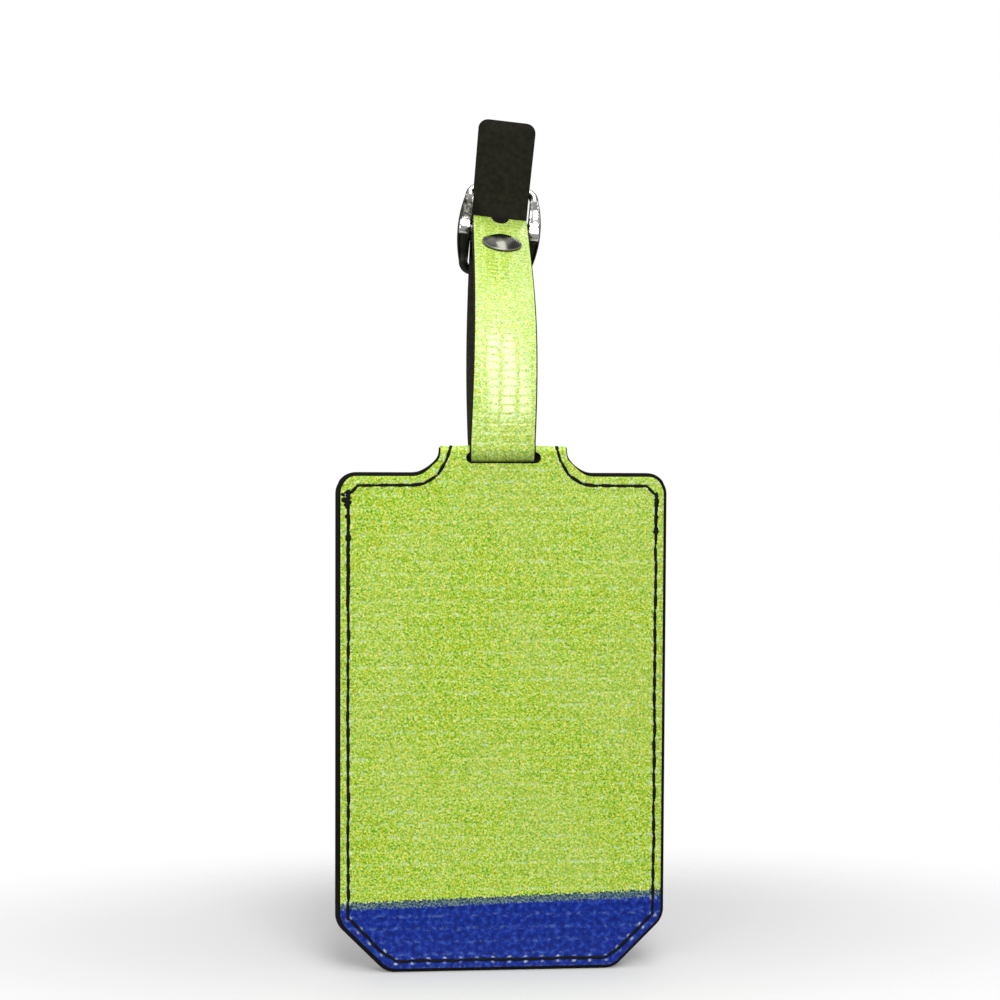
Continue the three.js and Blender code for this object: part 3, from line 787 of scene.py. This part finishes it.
def seamPoints(lowest, highest, surfaceY):
    # Needle holes up the right-hand side between two heights, from the lowest
    stations = rimStations(0.2, seam["topZ"])[::-1]
    holes = []
    for before, after in zip(stations, stations[1:]):
        first = math.ceil(before[2] / seam["pitch"] - 0.5)
        distance = (first + 0.5) * seam["pitch"]
        if before[2] <= distance < after[2]:
            share = (distance - before[2]) / (after[2] - before[2])
            place = before[0].lerp(after[0], share) + before[1].lerp(after[1], share) * seam["inset"]
            if lowest <= place.y <= highest:
                holes.append(Vector((place.x, surfaceY, place.y)))
    if highest > tagShape["foldZ"]:
        # On up to the top of the neck, round the fold
        for degrees, aside in seam["foldHoles"]:
            angle = math.radians(degrees)
            x = tagShape["neck"] - seam["inset"] - aside
            z = tagShape["foldZ"] + tagShape["foldRadius"] * math.sin(angle)
            holes.append(Vector((x, surfaceY * math.cos(angle), z)))
    return holes


def seamRun(bm, points, outward):
    for start, end in zip(points, points[1:]):
        off = Vector((1, 0, 1)) * random.uniform(-seam["wander"], seam["wander"])
        width = seam["threadHalfWidth"] * random.uniform(0.9, 1.15)
        stitch(bm, start + off * 0.3, end + off, outward, width, seam["threadHalfHeight"])


def mirroredPoints(points):
    return [Vector((-point.x, point.y, point.z)) for point in points]


def shifted(points):
    return [point + Vector((coverSheet["shift"], 0, 0)) for point in points]


# The seams' ends: wraps as (drop, share of their reach), and (half width, half height) of threads
tack = {
    "wraps": ((0, 0.6), (0.6, 1), (1.2, 0.9), (1.8, 1), (2.4, 0.6), (3.2, 0.3), (4.8, 0.5)),
    "wrapSlope": 0.3,
    "wrapThread": (0.52, 0.24),
    "longThread": (0.32, 0.26),
    "doubledThread": (0.48, 0.24),
    "doubledLength": 3.2,
    "knotThread": (0.24, 0.22),
    "knotReach": (0.55, 0.8),
}


def backTack(bm, side, topZ, length, reach, doubled, outward, surfaceY):
    # The seam's end, sewn over itself a few times and knotted
    x = side * (tagShape["side"] - seam["inset"]) + coverSheet["shift"]
    for turn, (drop, share) in enumerate(tack["wraps"]):
        slope = tack["wrapSlope"] if turn % 2 else -tack["wrapSlope"]
        wide = reach * share * random.uniform(0.85, 1.1)
        start = Vector((x - side * wide * 0.5, surfaceY, topZ - drop - slope))
        end = Vector((x + side * wide, surfaceY, topZ - drop + slope))
        stitch(bm, start, end, outward, *tack["wrapThread"])
    for turn in (-0.12, 0.14):
        start = Vector((x + turn, surfaceY, topZ + 0.6))
        end = Vector((x - turn, surfaceY, topZ - length))
        stitch(bm, start, end, outward, *tack["longThread"])
    knotZ = topZ - length
    drop = tack["doubledLength"]
    for turn in range(doubled):
        start = Vector((x + 0.12, surfaceY, knotZ - drop * turn))
        end = Vector((x - 0.1, surfaceY, knotZ - drop * (turn + 1) - 0.2))
        stitch(bm, start, end, outward, *tack["doubledThread"])
    wide, high = tack["knotReach"]
    corners = []
    for degrees in (45, 135, 225, 315, 405):
        angle = math.radians(degrees)
        corners.append(Vector((x + wide * math.cos(angle), surfaceY, knotZ + high * math.sin(angle))))
    for start, end in zip(corners, corners[1:]):
        stitch(bm, start, end, outward, *tack["knotThread"])


def seams():
    mouth = panelHigh.z
    frontY, backY = seam["sunk"] - tagShape["foldRadius"], tagShape["foldRadius"] - seam["sunk"]
    panelY = panelHigh.y - seam["sunk"]
    toViewer, toBack = Vector((0, -1, 0)), Vector((0, 1, 0))
    bottom, top = tagShape["bottom"], tagShape["foldZ"] + 0.1
    corner = tagShape["shoulder"] - tagShape["shoulderRadius"]

    bm = bmesh.new()
    side = seamPoints(bottom, corner, frontY)
    seamRun(bm, shifted(mirroredPoints(side)[::-1] + side), toViewer)
    backTack(bm, -1, -9.0, 9.4, 1.4, 4, toViewer, frontY)
    backTack(bm, 1, -9.2, 7.6, 0.45, 0, toViewer, frontY)
    finishPiece("frontSeamThread", bm, [boundThread], "tag", ["pocket_seam_front"])

    bm = bmesh.new()
    side = seamPoints(bottom, mouth - 0.5, panelY)
    seamRun(bm, shifted(mirroredPoints(side)[::-1] + side), toBack)
    backTack(bm, -1, mouth - 2.2, 5.6, 0.5, 0, toBack, panelY)
    backTack(bm, 1, mouth - 2.2, 5.6, 0.5, 0, toBack, panelY)
    finishPiece("backSeamThread", bm, [boundThread], "tag", ["pocket_seam_back"])

    for name, sign in (("left", -1), ("right", 1)):
        for face, y, outward in (("front", frontY, toViewer), ("back", backY, toBack)):
            lowest = corner - seam["pitch"] if face == "front" else mouth + 1
            points = seamPoints(lowest, top, y)
            if sign < 0:
                points = mirroredPoints(points)
            bm = bmesh.new()
            seamRun(bm, shifted(points), outward)
            pieceName = face + "NeckThread" + name.capitalize()
            finishPiece(pieceName, bm, [boundThread], "tag", [f"neck_seam_{face}_{name}"])


seams()
print("seams sewn")


# The strap's route in (y, z). Its two layers are cut flat and bent along it.
strapRoute = {
    "tailLength": 18.0,
    "frameTilt": 8.0,
    "weavePeak": 3.95,
    "weaveRadius": 20.7,
    "endBarOffset": 10.0,
    "turnRadius": 2.075,
    "backLean": 65.0,
    "backHandles": (24.0, 30.0),
    "frontLean": 5.0,
    "frontHandles": (28.0, 30.0),
    "foldRadius": 2.725,
    "foldLean": 57.0,
    "foldEnd": -95.0,
    "rivetPlace": 0.833,
    "tabBeyond": 0.07,
    "tabHandle": 2.2,
    "tabGap": 1.2,
    "sideLean": 0.053,
    "sideLeanFrom": 2.0,
    "endTurn": 5.5,
    "endTurnHeights": (8.0, 44.0),
}
strapCut = {
    "width": 13.7,
    "inner": 0.02,
    "outer": 0.53,
    "tailRadius": 2.4,
    "holeWidth": 3.2,
    "holeLength": 6.0,
    "usedHole": -5.2,
    "holePitch": 11.0,
    "spareHoles": 2,
    "holeShift": -0.03,
    "rivetHole": 3.5,
    "notchHalfWidth": 2.2,
    "notchReach": 4.1,
    "edgeRound": 0.1,
    "turnSag": 0.12,
    "faceTrim": 0.28,
}
barCentre = fromPivot(joints["buckle_tilt"]["pos_m"])
barPlace = Vector((barCentre.y, barCentre.z))


def heading(lean):
    return Vector((math.sin(math.radians(lean)), math.cos(math.radians(lean))))


def arcPoints(centre, radius, fromDegrees, toDegrees, steps):
    points = []
    for step in range(steps + 1):
        angle = math.radians(fromDegrees + (toDegrees - fromDegrees) * step / steps)
        points.append(centre + Vector((math.cos(angle), math.sin(angle))) * radius)
    return points


def curvePoint(handles, t):
    a, b, c, d = handles
    return a * (1 - t) ** 3 + b * (3 * t * (1 - t) ** 2) + c * (3 * t * t * (1 - t)) + d * t**3


def curveDirection(handles, t):
    return (curvePoint(handles, t + 0.001) - curvePoint(handles, t - 0.001)).normalized()


def curvePoints(handles, steps):
    return [curvePoint(handles, step / steps) for step in range(steps + 1)]


def fromBar(back, up):
    tilt = math.radians(strapRoute["frameTilt"])
    along = Vector((-math.sin(tilt), math.cos(tilt)))
    behind = Vector((math.cos(tilt), math.sin(tilt)))
    return barPlace + behind * back + along * up


def layOutRoute():
    # Every stretch of the strap in order from the tail's tip, by name
    route = strapRoute
    reach = math.degrees(math.asin(route["endBarOffset"] / route["weaveRadius"]))
    centre = fromBar(route["weavePeak"] - route["weaveRadius"], 0)
    lean = route["frameTilt"]
    weave = arcPoints(centre, route["weaveRadius"], lean + reach, lean - reach, 26)
    tip = weave[0] + heading(-reach - route["frameTilt"]) * route["tailLength"]
    tail = [tip.lerp(weave[0], step / 14) for step in range(15)]
    turn = arcPoints(Vector((0, 0)), route["turnRadius"], -route["backLean"], -180 - route["frontLean"], 26)
    backRun = (
        weave[-1],
        weave[-1] - heading(reach - route["frameTilt"]) * route["backHandles"][0],
        turn[0] + heading(route["backLean"]) * route["backHandles"][1],
        turn[0],
    )
    fold = arcPoints(barPlace, route["foldRadius"], 180 - route["foldLean"], route["foldEnd"], 40)
    frontRun = (
        turn[-1],
        turn[-1] + heading(route["frontLean"]) * route["frontHandles"][0],
        fold[0] - heading(route["foldLean"]) * route["frontHandles"][1],
        fold[0],
    )

    def onTab(t):
        direction = curveDirection(frontRun, t)
        return curvePoint(frontRun, t) + Vector((direction.y, -direction.x)) * route["tabGap"]

    meets = route["rivetPlace"] + route["tabBeyond"]
    tabHeading = (onTab(meets - 0.01) - onTab(meets)).normalized()
    bridge = (
        fold[-1],
        fold[-1] + Vector((-route["tabHandle"], 0.1)),
        onTab(meets) - tabHeading * route["tabHandle"],
        onTab(meets),
    )
    tab = [onTab(meets - 2 * route["tabBeyond"] * step / 12) for step in range(13)]
    stretches = {
        "tail": tail,
        "weave": weave,
        "backRun": curvePoints(backRun, 64),
        "turn": turn,
        "frontRun": curvePoints(frontRun, 60),
        "fold": fold,
        "bridge": curvePoints(bridge, 14),
        "tab": tab,
    }
    return stretches, frontRun


stretches, frontRun = layOutRoute()
routePoints = []
routeStarts = {}
for stretchName, points in stretches.items():
    routeStarts[stretchName] = len(routePoints) - 1 if routePoints else 0
    routePoints += points[1:] if routePoints else points
routeLengths = [0.0]
for before, after in zip(routePoints, routePoints[1:]):
    routeLengths.append(routeLengths[-1] + (after - before).length)
routeDirections = []
for i in range(len(routePoints)):
    before, after = routePoints[max(i - 1, 0)], routePoints[min(i + 1, len(routePoints) - 1)]
    routeDirections.append((after - before).normalized())
strapLength = routeLengths[-1]


def alongTo(stretchName, share=0.0):
    # The distance along the strap to a share of one stretch's length
    names = list(routeStarts)
    start = routeLengths[routeStarts[stretchName]]
    following = names.index(stretchName) + 1
    end = routeLengths[routeStarts[names[following]]] if following < len(names) else strapLength
    return start + (end - start) * share


def alongNearest(place):
    distances = [(point - place).length for point in routePoints]
    return routeLengths[distances.index(min(distances))]


def onRoute(s):
    # Place and direction at a distance along the strap
    low = 0
    high = len(routeLengths) - 1
    while high - low > 1:
        middle = (low + high) // 2
        if routeLengths[middle] <= s:
            low = middle
        else:
            high = middle
    share = (s - routeLengths[low]) / (routeLengths[high] - routeLengths[low])
    place = routePoints[low].lerp(routePoints[high], share)
    return place, routeDirections[low].lerp(routeDirections[high], share).normalized()


def endSlope(z):
    # How far the strap's upper end is turned sideways at a height
    slope = math.tan(math.radians(strapRoute["endTurn"]))
    return slope * smoothStep(z, *strapRoute["endTurnHeights"])


def leaned(point):
    # The whole strap leans to one side as it rises, and its upper end is turned the same way
    aside = strapRoute["sideLean"] * max(point.z - strapRoute["sideLeanFrom"], 0)
    return Vector((point.x + aside, point.y, point.z - point.x * endSlope(point.z)))


def bentAlongStrap(x, s, height):
    place, direction = onRoute(s)
    spot = place + Vector((-direction.y, direction.x)) * height
    sag = strapCut["turnSag"] * (1 - (2 * x / strapCut["width"]) ** 2) * smoothStep(-spot.y, 0.2, 2.2)
    return leaned(Vector((x, spot.x, spot.y - sag)))


def closedLoop(bm, points, height):
    verts = [bm.verts.new((point.x, point.y, height)) for point in points]
    return [bm.edges.new((vert, verts[i - 1])) for i, vert in enumerate(verts)]


def oblong(centre, halfWidth, halfLength, steps=8):
    straight = halfLength - halfWidth
    upper = arcPoints(Vector((0, centre + straight)), halfWidth, 0, 180, steps)
    lower = arcPoints(Vector((0, centre - straight)), halfWidth, 180, 360, steps)
    return upper + lower


def strapOutline(trim):
    half, radius = strapCut["width"] / 2 - trim, strapCut["tailRadius"]
    points = arcPoints(Vector((half - radius, radius + trim)), radius, 0, -90, 8)
    points += arcPoints(Vector((radius - half, radius + trim)), radius, -90, -180, 8)
    return points + [Vector((-half, strapLength)), Vector((half, strapLength))]


def foldNotch():
    # The prong's clearance: a stretched round end before the crest, and a round one behind the bar
    half, reach = strapCut["notchHalfWidth"], strapCut["notchReach"]
    crest = alongNearest(barPlace + Vector((0, strapRoute["foldRadius"])))
    behind = alongNearest(barPlace + Vector((strapRoute["foldRadius"], -0.8)))
    front = []
    for step in range(13):
        angle = math.radians(180 + 15 * step)
        front.append(Vector((half * math.cos(angle), crest + reach * math.sin(angle))))
    rear = arcPoints(Vector((0, behind)), half, 0, 180, 10)
    return front + rear


def strapOpenings():
    radius, usedHole = strapRoute["weaveRadius"], strapCut["usedHole"]
    reach = math.asin(strapRoute["endBarOffset"] / radius)
    centres = [alongTo("weave") + radius * (reach - math.asin(usedHole / radius))]
    runStart, runEnd = alongTo("backRun"), alongTo("backRun", 1)
    shift = strapCut["holeShift"] * (runEnd - runStart)
    for number in range(1, strapCut["spareHoles"] + 1):
        centres.append(runStart + number * strapCut["holePitch"] + shift)
    openings = [oblong(s, strapCut["holeWidth"] / 2, strapCut["holeLength"] / 2) for s in centres]
    rivetPlace = curvePoint(frontRun, strapRoute["rivetPlace"])
    hole = strapCut["rivetHole"] / 2
    openings.append(oblong(alongNearest(rivetPlace), hole, hole + 0.0001, 10))
    return openings + [foldNotch()]


def strapLayer(name, low, high, trim, material, node):
    bm = bmesh.new()
    edges = closedLoop(bm, strapOutline(trim), low)
    for opening in strapOpenings():
        edges += closedLoop(bm, opening, low)
    bmesh.ops.remove_doubles(bm, verts=bm.verts, dist=0.001)
    bmesh.ops.triangle_fill(bm, use_beauty=True, use_dissolve=False, edges=bm.edges[:])
    lifted = bmesh.ops.extrude_face_region(bm, geom=bm.faces[:])["geom"]
    lifted = [part for part in lifted if isinstance(part, bmesh.types.BMVert)]
    bmesh.ops.translate(bm, vec=(0, 0, high - low), verts=lifted)
    bmesh.ops.recalc_face_normals(bm, faces=bm.faces)
    bmesh.ops.dissolve_limit(bm, angle_limit=math.radians(1), verts=bm.verts, edges=bm.edges)
    bevelSharp(bm, 60, strapCut["edgeRound"], 2)
    cutFaces(bm, bm.faces[:], (0, 1, 0), routeLengths[1:-1])
    storeFlatPlace(bm)
    for vert in bm.verts:
        vert.co = bentAlongStrap(*vert.co)
    finishPiece(name, bm, [material, boardBlack], "strap", [node], 45)


inner, outer = strapCut["inner"], strapCut["outer"]
strapLayer("strapFace", inner, outer, strapCut["faceTrim"], strapSheet, "strap_face")
strapLayer("strapBacking", -outer, -inner, 0.0, liningBlack, "strap_lining")
print("strap bent")


rivet = {
    "capRadius": 4.7,
    "capRise": 1.9,
    "capGap": 0.12,
    "backRadius": 3.6,
    "backThickness": 0.7,
    "backSunk": 0.55,
    "dishDepth": 0.12,
    "dishRadii": (1.1, 1.3),
    "postRadius": 1.4,
    "rimRound": 0.22,
    "steps": 64,
}


def rivetPlacement():
    place = curvePoint(frontRun, strapRoute["rivetPlace"])
    direction = curveDirection(frontRun, strapRoute["rivetPlace"])
    across = Vector((1, 0, -endSlope(place.y))).normalized()
    outward = across.cross(Vector((0, direction.x, direction.y))).normalized()
    lengthwise = outward.cross(across)
    turn = Matrix((across, lengthwise, outward)).transposed().to_4x4()
    return Matrix.Translation(leaned(Vector((0, place.x, place.y)))) @ turn


def spunPiece(name, profile, node):
    # A profile of (radius, height) spun about the rivet's axis
    bm = bmesh.new()
    verts = [bm.verts.new((radius, 0, height)) for radius, height in profile]
    edges = [bm.edges.new(pair) for pair in zip(verts, verts[1:])]
    bmesh.ops.spin(
        bm,
        geom=verts + edges,
        cent=(0, 0, 0),
        axis=(0, 0, 1),
        angle=2 * math.pi,
        steps=rivet["steps"],
        use_merge=True,
    )
    bmesh.ops.remove_doubles(bm, verts=bm.verts, dist=0.001)
    bmesh.ops.transform(bm, matrix=rivetPlacement(), verts=bm.verts)
    finishPiece(name, bm, [gunMetal], "strap", [node], 40)


def rivetCap():
    base = strapCut["outer"] + rivet["capGap"]
    radius, rise, rim = rivet["capRadius"], rivet["capRise"], rivet["rimRound"]
    ball = (radius**2 + rise**2) / (2 * rise)
    reach = math.asin((radius - rim) / ball)
    profile = [(0.0, base)]
    for angle in (0.0, 0.6, 1.2, 1.8):
        profile.append((radius - rim + rim * math.sin(angle), base + rim - rim * math.cos(angle)))
    domeSteps = 18
    for step in range(1, domeSteps + 1):
        angle = reach * (1 - step / domeSteps)
        profile.append((ball * math.sin(angle), base + rise - ball + ball * math.cos(angle)))
    return spunPiece("rivetCap", profile, "rivet_cap")


def rivetBack():
    # A plate with a shallow dish and a rounded rim, and its post up through the strap
    top = strapCut["outer"]
    depth = rivet["backSunk"] - 2 * strapCut["outer"] - strapRoute["tabGap"] - rivet["capGap"]
    radius, thick = rivet["backRadius"], rivet["backThickness"]
    dishInner, dishOuter = rivet["dishRadii"]
    profile = [
        (0.0, depth - thick + rivet["dishDepth"]),
        (dishInner, depth - thick + rivet["dishDepth"]),
        (dishOuter, depth - thick),
        (radius - 0.5, depth - thick),
        (radius - 0.15, depth - thick + 0.1),
        (radius, depth - 0.35),
        (radius, depth - 0.12),
        (radius - 0.12, depth),
        (rivet["postRadius"], depth),
        (rivet["postRadius"], top),
        (0.0, top),
    ]
    return spunPiece("rivetBack", profile, "rivet_back")


rivetCap()
rivetBack()
print("rivet set")


buckle = {
    "halfWidth": 10.25,
    "endHalfWidth": 8.4,
    "opening": 6.88,
    "thickness": 2.4,
    "endBarOffset": 10.0,
    "endBarSetback": 3.65,
    "endBarRadius": 1.2,
    "cornerFrom": 7.9,
    "bluntness": (0.7, 0.85),
    "channelDepth": 1.15,
    "channelShare": 0.62,
    "channelFrom": (1.6, 2.3),
    "channelTo": (6.4, 7.7),
    "channelPatinaAndShade": (0.72, 0.3),
    "lowerShade": 0.82,
    "hubRadius": 1.75,
    "hubInner": 7.05,
    "hubOuter": 9.9,
    "hubRound": 0.3,
    "barRound": 0.15,
    "prongRound": 0.14,
}


def bucklePlacement():
    tilt = Matrix.Rotation(math.radians(strapRoute["frameTilt"]), 4, "X")
    axis = Vector(joints["buckle_tilt"]["axis"])
    turn = Matrix.Rotation(math.atan2(-axis.z, axis.x), 4, "Y")
    return Matrix.Translation(barCentre) @ turn @ tilt


def railOuter(z):
    bulge = buckle["halfWidth"] - buckle["endHalfWidth"]
    radius = (buckle["endBarOffset"] ** 2 + bulge**2) / (2 * bulge)
    return buckle["halfWidth"] - radius + math.sqrt(radius**2 - z**2)


def bowDepth(z):
    setback = buckle["endBarSetback"]
    radius = (buckle["endBarOffset"] ** 2 + setback**2) / (2 * setback)
    return radius - math.sqrt(radius**2 - min(abs(z), radius) ** 2)


def ringStations():
    # One quarter of the frame's middle line, (x, z, half width, half depth, channel), from the
    # middle of a rail to the middle of an end bar
    stations = []
    railEnd, endZ, barRadius = buckle["cornerFrom"], buckle["endBarOffset"], buckle["endBarRadius"]
    railSteps, cornerSteps, barSteps = 11, 6, 4
    for step in range(railSteps + 1):
        z = railEnd * step / railSteps
        halfWidth = (railOuter(z) - buckle["opening"]) / 2
        groove = smoothStep(z, *buckle["channelFrom"]) * (1 - smoothStep(z, *buckle["channelTo"]))
        stations.append((buckle["opening"] + halfWidth, z, halfWidth, buckle["thickness"] / 2, groove))
    x, z, halfWidth, depth, _ = stations[-1]
    cornerRadius = endZ - z
    for step in range(1, cornerSteps + 1):
        share = step / cornerSteps
        angle = math.radians(90 * share)
        turnedX = x - cornerRadius * (1 - math.cos(angle))
        turnedZ = z + cornerRadius * math.sin(angle)
        stations.append((turnedX, turnedZ, halfWidth + (barRadius - halfWidth) * share, barRadius, 0))
    edge = stations[-1][0]
    for step in range(1, barSteps + 1):
        stations.append((edge * (1 - step / barSteps), endZ, barRadius, barRadius, 0))
    return stations


def frameRing():
    # The quarter's stations carried round all four quarters
    quarter = ringStations()
    ring = list(quarter)
    ring += [(-x, z, w, d, g) for x, z, w, d, g in quarter[-2::-1]]
    ring += [(-x, -z, w, d, g) for x, z, w, d, g in quarter[1:]]
    ring += [(x, -z, w, d, g) for x, z, w, d, g in quarter[-2:0:-1]]
    return ring


def buckleFrame():
    bm = bmesh.new()
    patinaAndShade = bm.verts.layers.float.new("patinaAndShade")
    ring = frameRing()
    middles = [Vector((x, bowDepth(z), z)) for x, z, *_ in ring]
    loops = []
    for i, (x, z, halfWidth, halfDepth, groove) in enumerate(ring):
        tangent = (middles[(i + 1) % len(ring)] - middles[i - 1]).normalized()
        depthAxis = (Vector((0, 1, 0)) - tangent * tangent.y).normalized()
        outAxis = tangent.cross(depthAxis).normalized()
        verts = bmesh.ops.create_circle(bm, segments=24, radius=1)["verts"]
        # Painted shade darkens the lower half of the frame
        lower = 1 - smoothStep(z, -1.2, 0.4)
        for vert in verts:
            angle = math.atan2(vert.co.y, vert.co.x)
            blunt = buckle["bluntness"][not (groove > 0 or abs(z) < 7)]
            out = math.copysign(abs(math.cos(angle)) ** blunt, math.cos(angle))
            deep = math.copysign(abs(math.sin(angle)) ** blunt, math.sin(angle)) * halfDepth
            recess = 0.0
            if deep < 0 and abs(out) < buckle["channelShare"]:
                deep += groove * buckle["channelDepth"]
                # The channel is patinated, and darker on the left rail as painted shade
                recess = buckle["channelPatinaAndShade"][x >= 0] * groove
            # Painted shade darkens the rail's inner side
            inner = 1 - smoothStep(out, -0.95, -0.6)
            vert[patinaAndShade] = max(buckle["lowerShade"] * lower, inner, recess)
            vert.co = middles[i] + outAxis * (out * halfWidth) + depthAxis * deep
        loops.append([e for e in bm.edges if all(v in verts for v in e.verts)])
    for i, loop in enumerate(loops):
        bmesh.ops.bridge_loops(bm, edges=loops[i - 1] + loop)
    for side in (-1, 1):
        middle = side * (buckle["hubInner"] + buckle["hubOuter"]) / 2
        matrix = Matrix.Translation((middle, 0, 0)) @ Matrix.Rotation(math.pi / 2, 4, "Y")
        hub = bmesh.ops.create_cone(
            bm,
            cap_ends=True,
            segments=32,
            radius1=buckle["hubRadius"],
            radius2=buckle["hubRadius"],
            depth=buckle["hubOuter"] - buckle["hubInner"],
            matrix=matrix,
        )["verts"]
        rims = {e for v in hub for e in v.link_edges if e.calc_face_angle(0.0) > math.radians(60)}
        bmesh.ops.bevel(
            bm,
            geom=list(rims),
            offset=buckle["hubRound"],
            affect="EDGES",
            segments=3,
            profile=0.5,
            material=-1,
        )
    bmesh.ops.transform(bm, matrix=bucklePlacement(), verts=bm.verts)
    finishPiece("buckleFrame", bm, [castMetal], "buckle", ["buckle_frame"], 60)


buckleFrame()
roundedPiece("buckleBar", "buckle_bar", plainSteel, "buckle", buckle["barRound"], 2)
roundedPiece("buckleProng", "buckle_prong", plainSteel, "prong", buckle["prongRound"], 2)
print("buckle made")


studio = {
    "floorSize": 6.0,
    "worldStrength": 0.34,
    "keyPower": 6.3,
    "keySize": (0.36, 0.85),
    "keyDistance": 0.75,
    "keyElevation": 57,
    "keyAside": 0.1,
    "topLight": ((0, 0.15, 0.8), (0.9, 0.7), 2.2),
    "fillLight": ((-0.5, -0.6, 0.1), (0.5, 0.6), 2.6),
    "backLight": ((0.1, 0.8, 0.35), (0.6, 0.6), 0.9),
    "floorTones": (0.62, 0.64),
    "floorFade": (0.018, 0.07),
    "floorStretch": (0.4, 1, 1),
    "lens": 50.4,
    "cameraPlace": (-20.07, -291.53, -0.67),
    "cameraYaw": 3.857,
    "cameraPitch": 1.93,
    "cameraRoll": 0.25,
}


def areaLight(name, place, size, power):
    data = bpy.data.lights.new(name, "AREA")
    data.shape = "RECTANGLE"
    data.size, data.size_y = size
    data.energy = power
    light = bpy.data.objects.new(name, data)
    light.location = place
    light.rotation_euler = Vector(place).to_track_quat("Z", "Y").to_euler()
    bpy.context.scene.collection.objects.link(light)


def floorAndWorld():
    size = studio["floorSize"]
    bm = bmesh.new()
    bmesh.ops.create_grid(bm, x_segments=1, y_segments=1, size=size / 2)
    mesh = bpy.data.meshes.new("floor")
    bm.to_mesh(mesh)
    bm.free()
    recipe = Recipe("paleFloor", Roughness=0.9, Specular_IOR_Level=0.1)
    mottle = recipe.noise(recipe.objectPlace(), 4.0)
    dark, light = ((tone, tone, tone, 1) for tone in studio["floorTones"])
    recipe.use("Base Color", recipe.ramp(mottle, [(0.3, dark), (0.7, light)]))
    inputs = {0: recipe.objectPlace(), 1: studio["floorStretch"]}
    squeezed = recipe.add("VectorMath", inputs, operation="MULTIPLY")
    reach = recipe.add("VectorMath", {0: squeezed}, output="Value", operation="LENGTH")
    near, far = studio["floorFade"]
    recipe.use("Alpha", recipe.remap(reach, near, far, 1.0, 0.0))
    mesh.materials.append(recipe.material)
    floor = bpy.data.objects.new("floor", mesh)
    floor.location.z = cadBox[0][2]
    bpy.context.scene.collection.objects.link(floor)

    world = bpy.data.worlds.new("studio")
    world.use_nodes = True
    nodes, links = world.node_tree.nodes, world.node_tree.links
    seen = nodes.new("ShaderNodeBackground")
    seen.inputs["Color"].default_value = (1, 1, 1, 1)
    nodes["Background"].inputs["Color"].default_value = (1, 1, 1, 1)
    nodes["Background"].inputs["Strength"].default_value = studio["worldStrength"]
    choose = nodes.new("ShaderNodeMixShader")
    path = nodes.new("ShaderNodeLightPath")
    links.new(path.outputs["Is Camera Ray"], choose.inputs[0])
    links.new(nodes["Background"].outputs[0], choose.inputs[1])
    links.new(seen.outputs[0], choose.inputs[2])
    links.new(choose.outputs[0], nodes["World Output"].inputs[0])
    bpy.context.scene.world = world


def lights():
    elevation = math.radians(studio["keyElevation"])
    reach = studio["keyDistance"]
    key = Vector((studio["keyAside"], -reach * math.cos(elevation), reach * math.sin(elevation)))
    areaLight("keyLight", key, studio["keySize"], studio["keyPower"])
    for name in ("topLight", "fillLight", "backLight"):
        areaLight(name, *studio[name])


def camera():
    yaw, pitch = math.radians(studio["cameraYaw"]), math.radians(studio["cameraPitch"])
    roll = math.radians(studio["cameraRoll"])
    level = math.cos(pitch)
    forward = Vector((math.sin(yaw) * level, math.cos(yaw) * level, -math.sin(pitch)))
    right = Vector((math.cos(yaw), -math.sin(yaw), 0))
    up = right.cross(forward)
    rightRolled = right * math.cos(roll) + up * math.sin(roll)
    upRolled = up * math.cos(roll) - right * math.sin(roll)
    data = bpy.data.cameras.new("camera")
    data.lens = studio["lens"]
    data.sensor_width = 36
    data.clip_start = 0.01
    view = bpy.data.objects.new("camera", data)
    turn = Matrix((rightRolled, upRolled, -forward)).transposed().to_4x4()
    view.matrix_world = Matrix.Translation(pivot + Vector(studio["cameraPlace"]) * mm) @ turn
    bpy.context.scene.collection.objects.link(view)
    bpy.context.scene.camera = view


floorAndWorld()
lights()
camera()
bpy.context.scene.view_settings.view_transform = "Standard"
print("studio set")
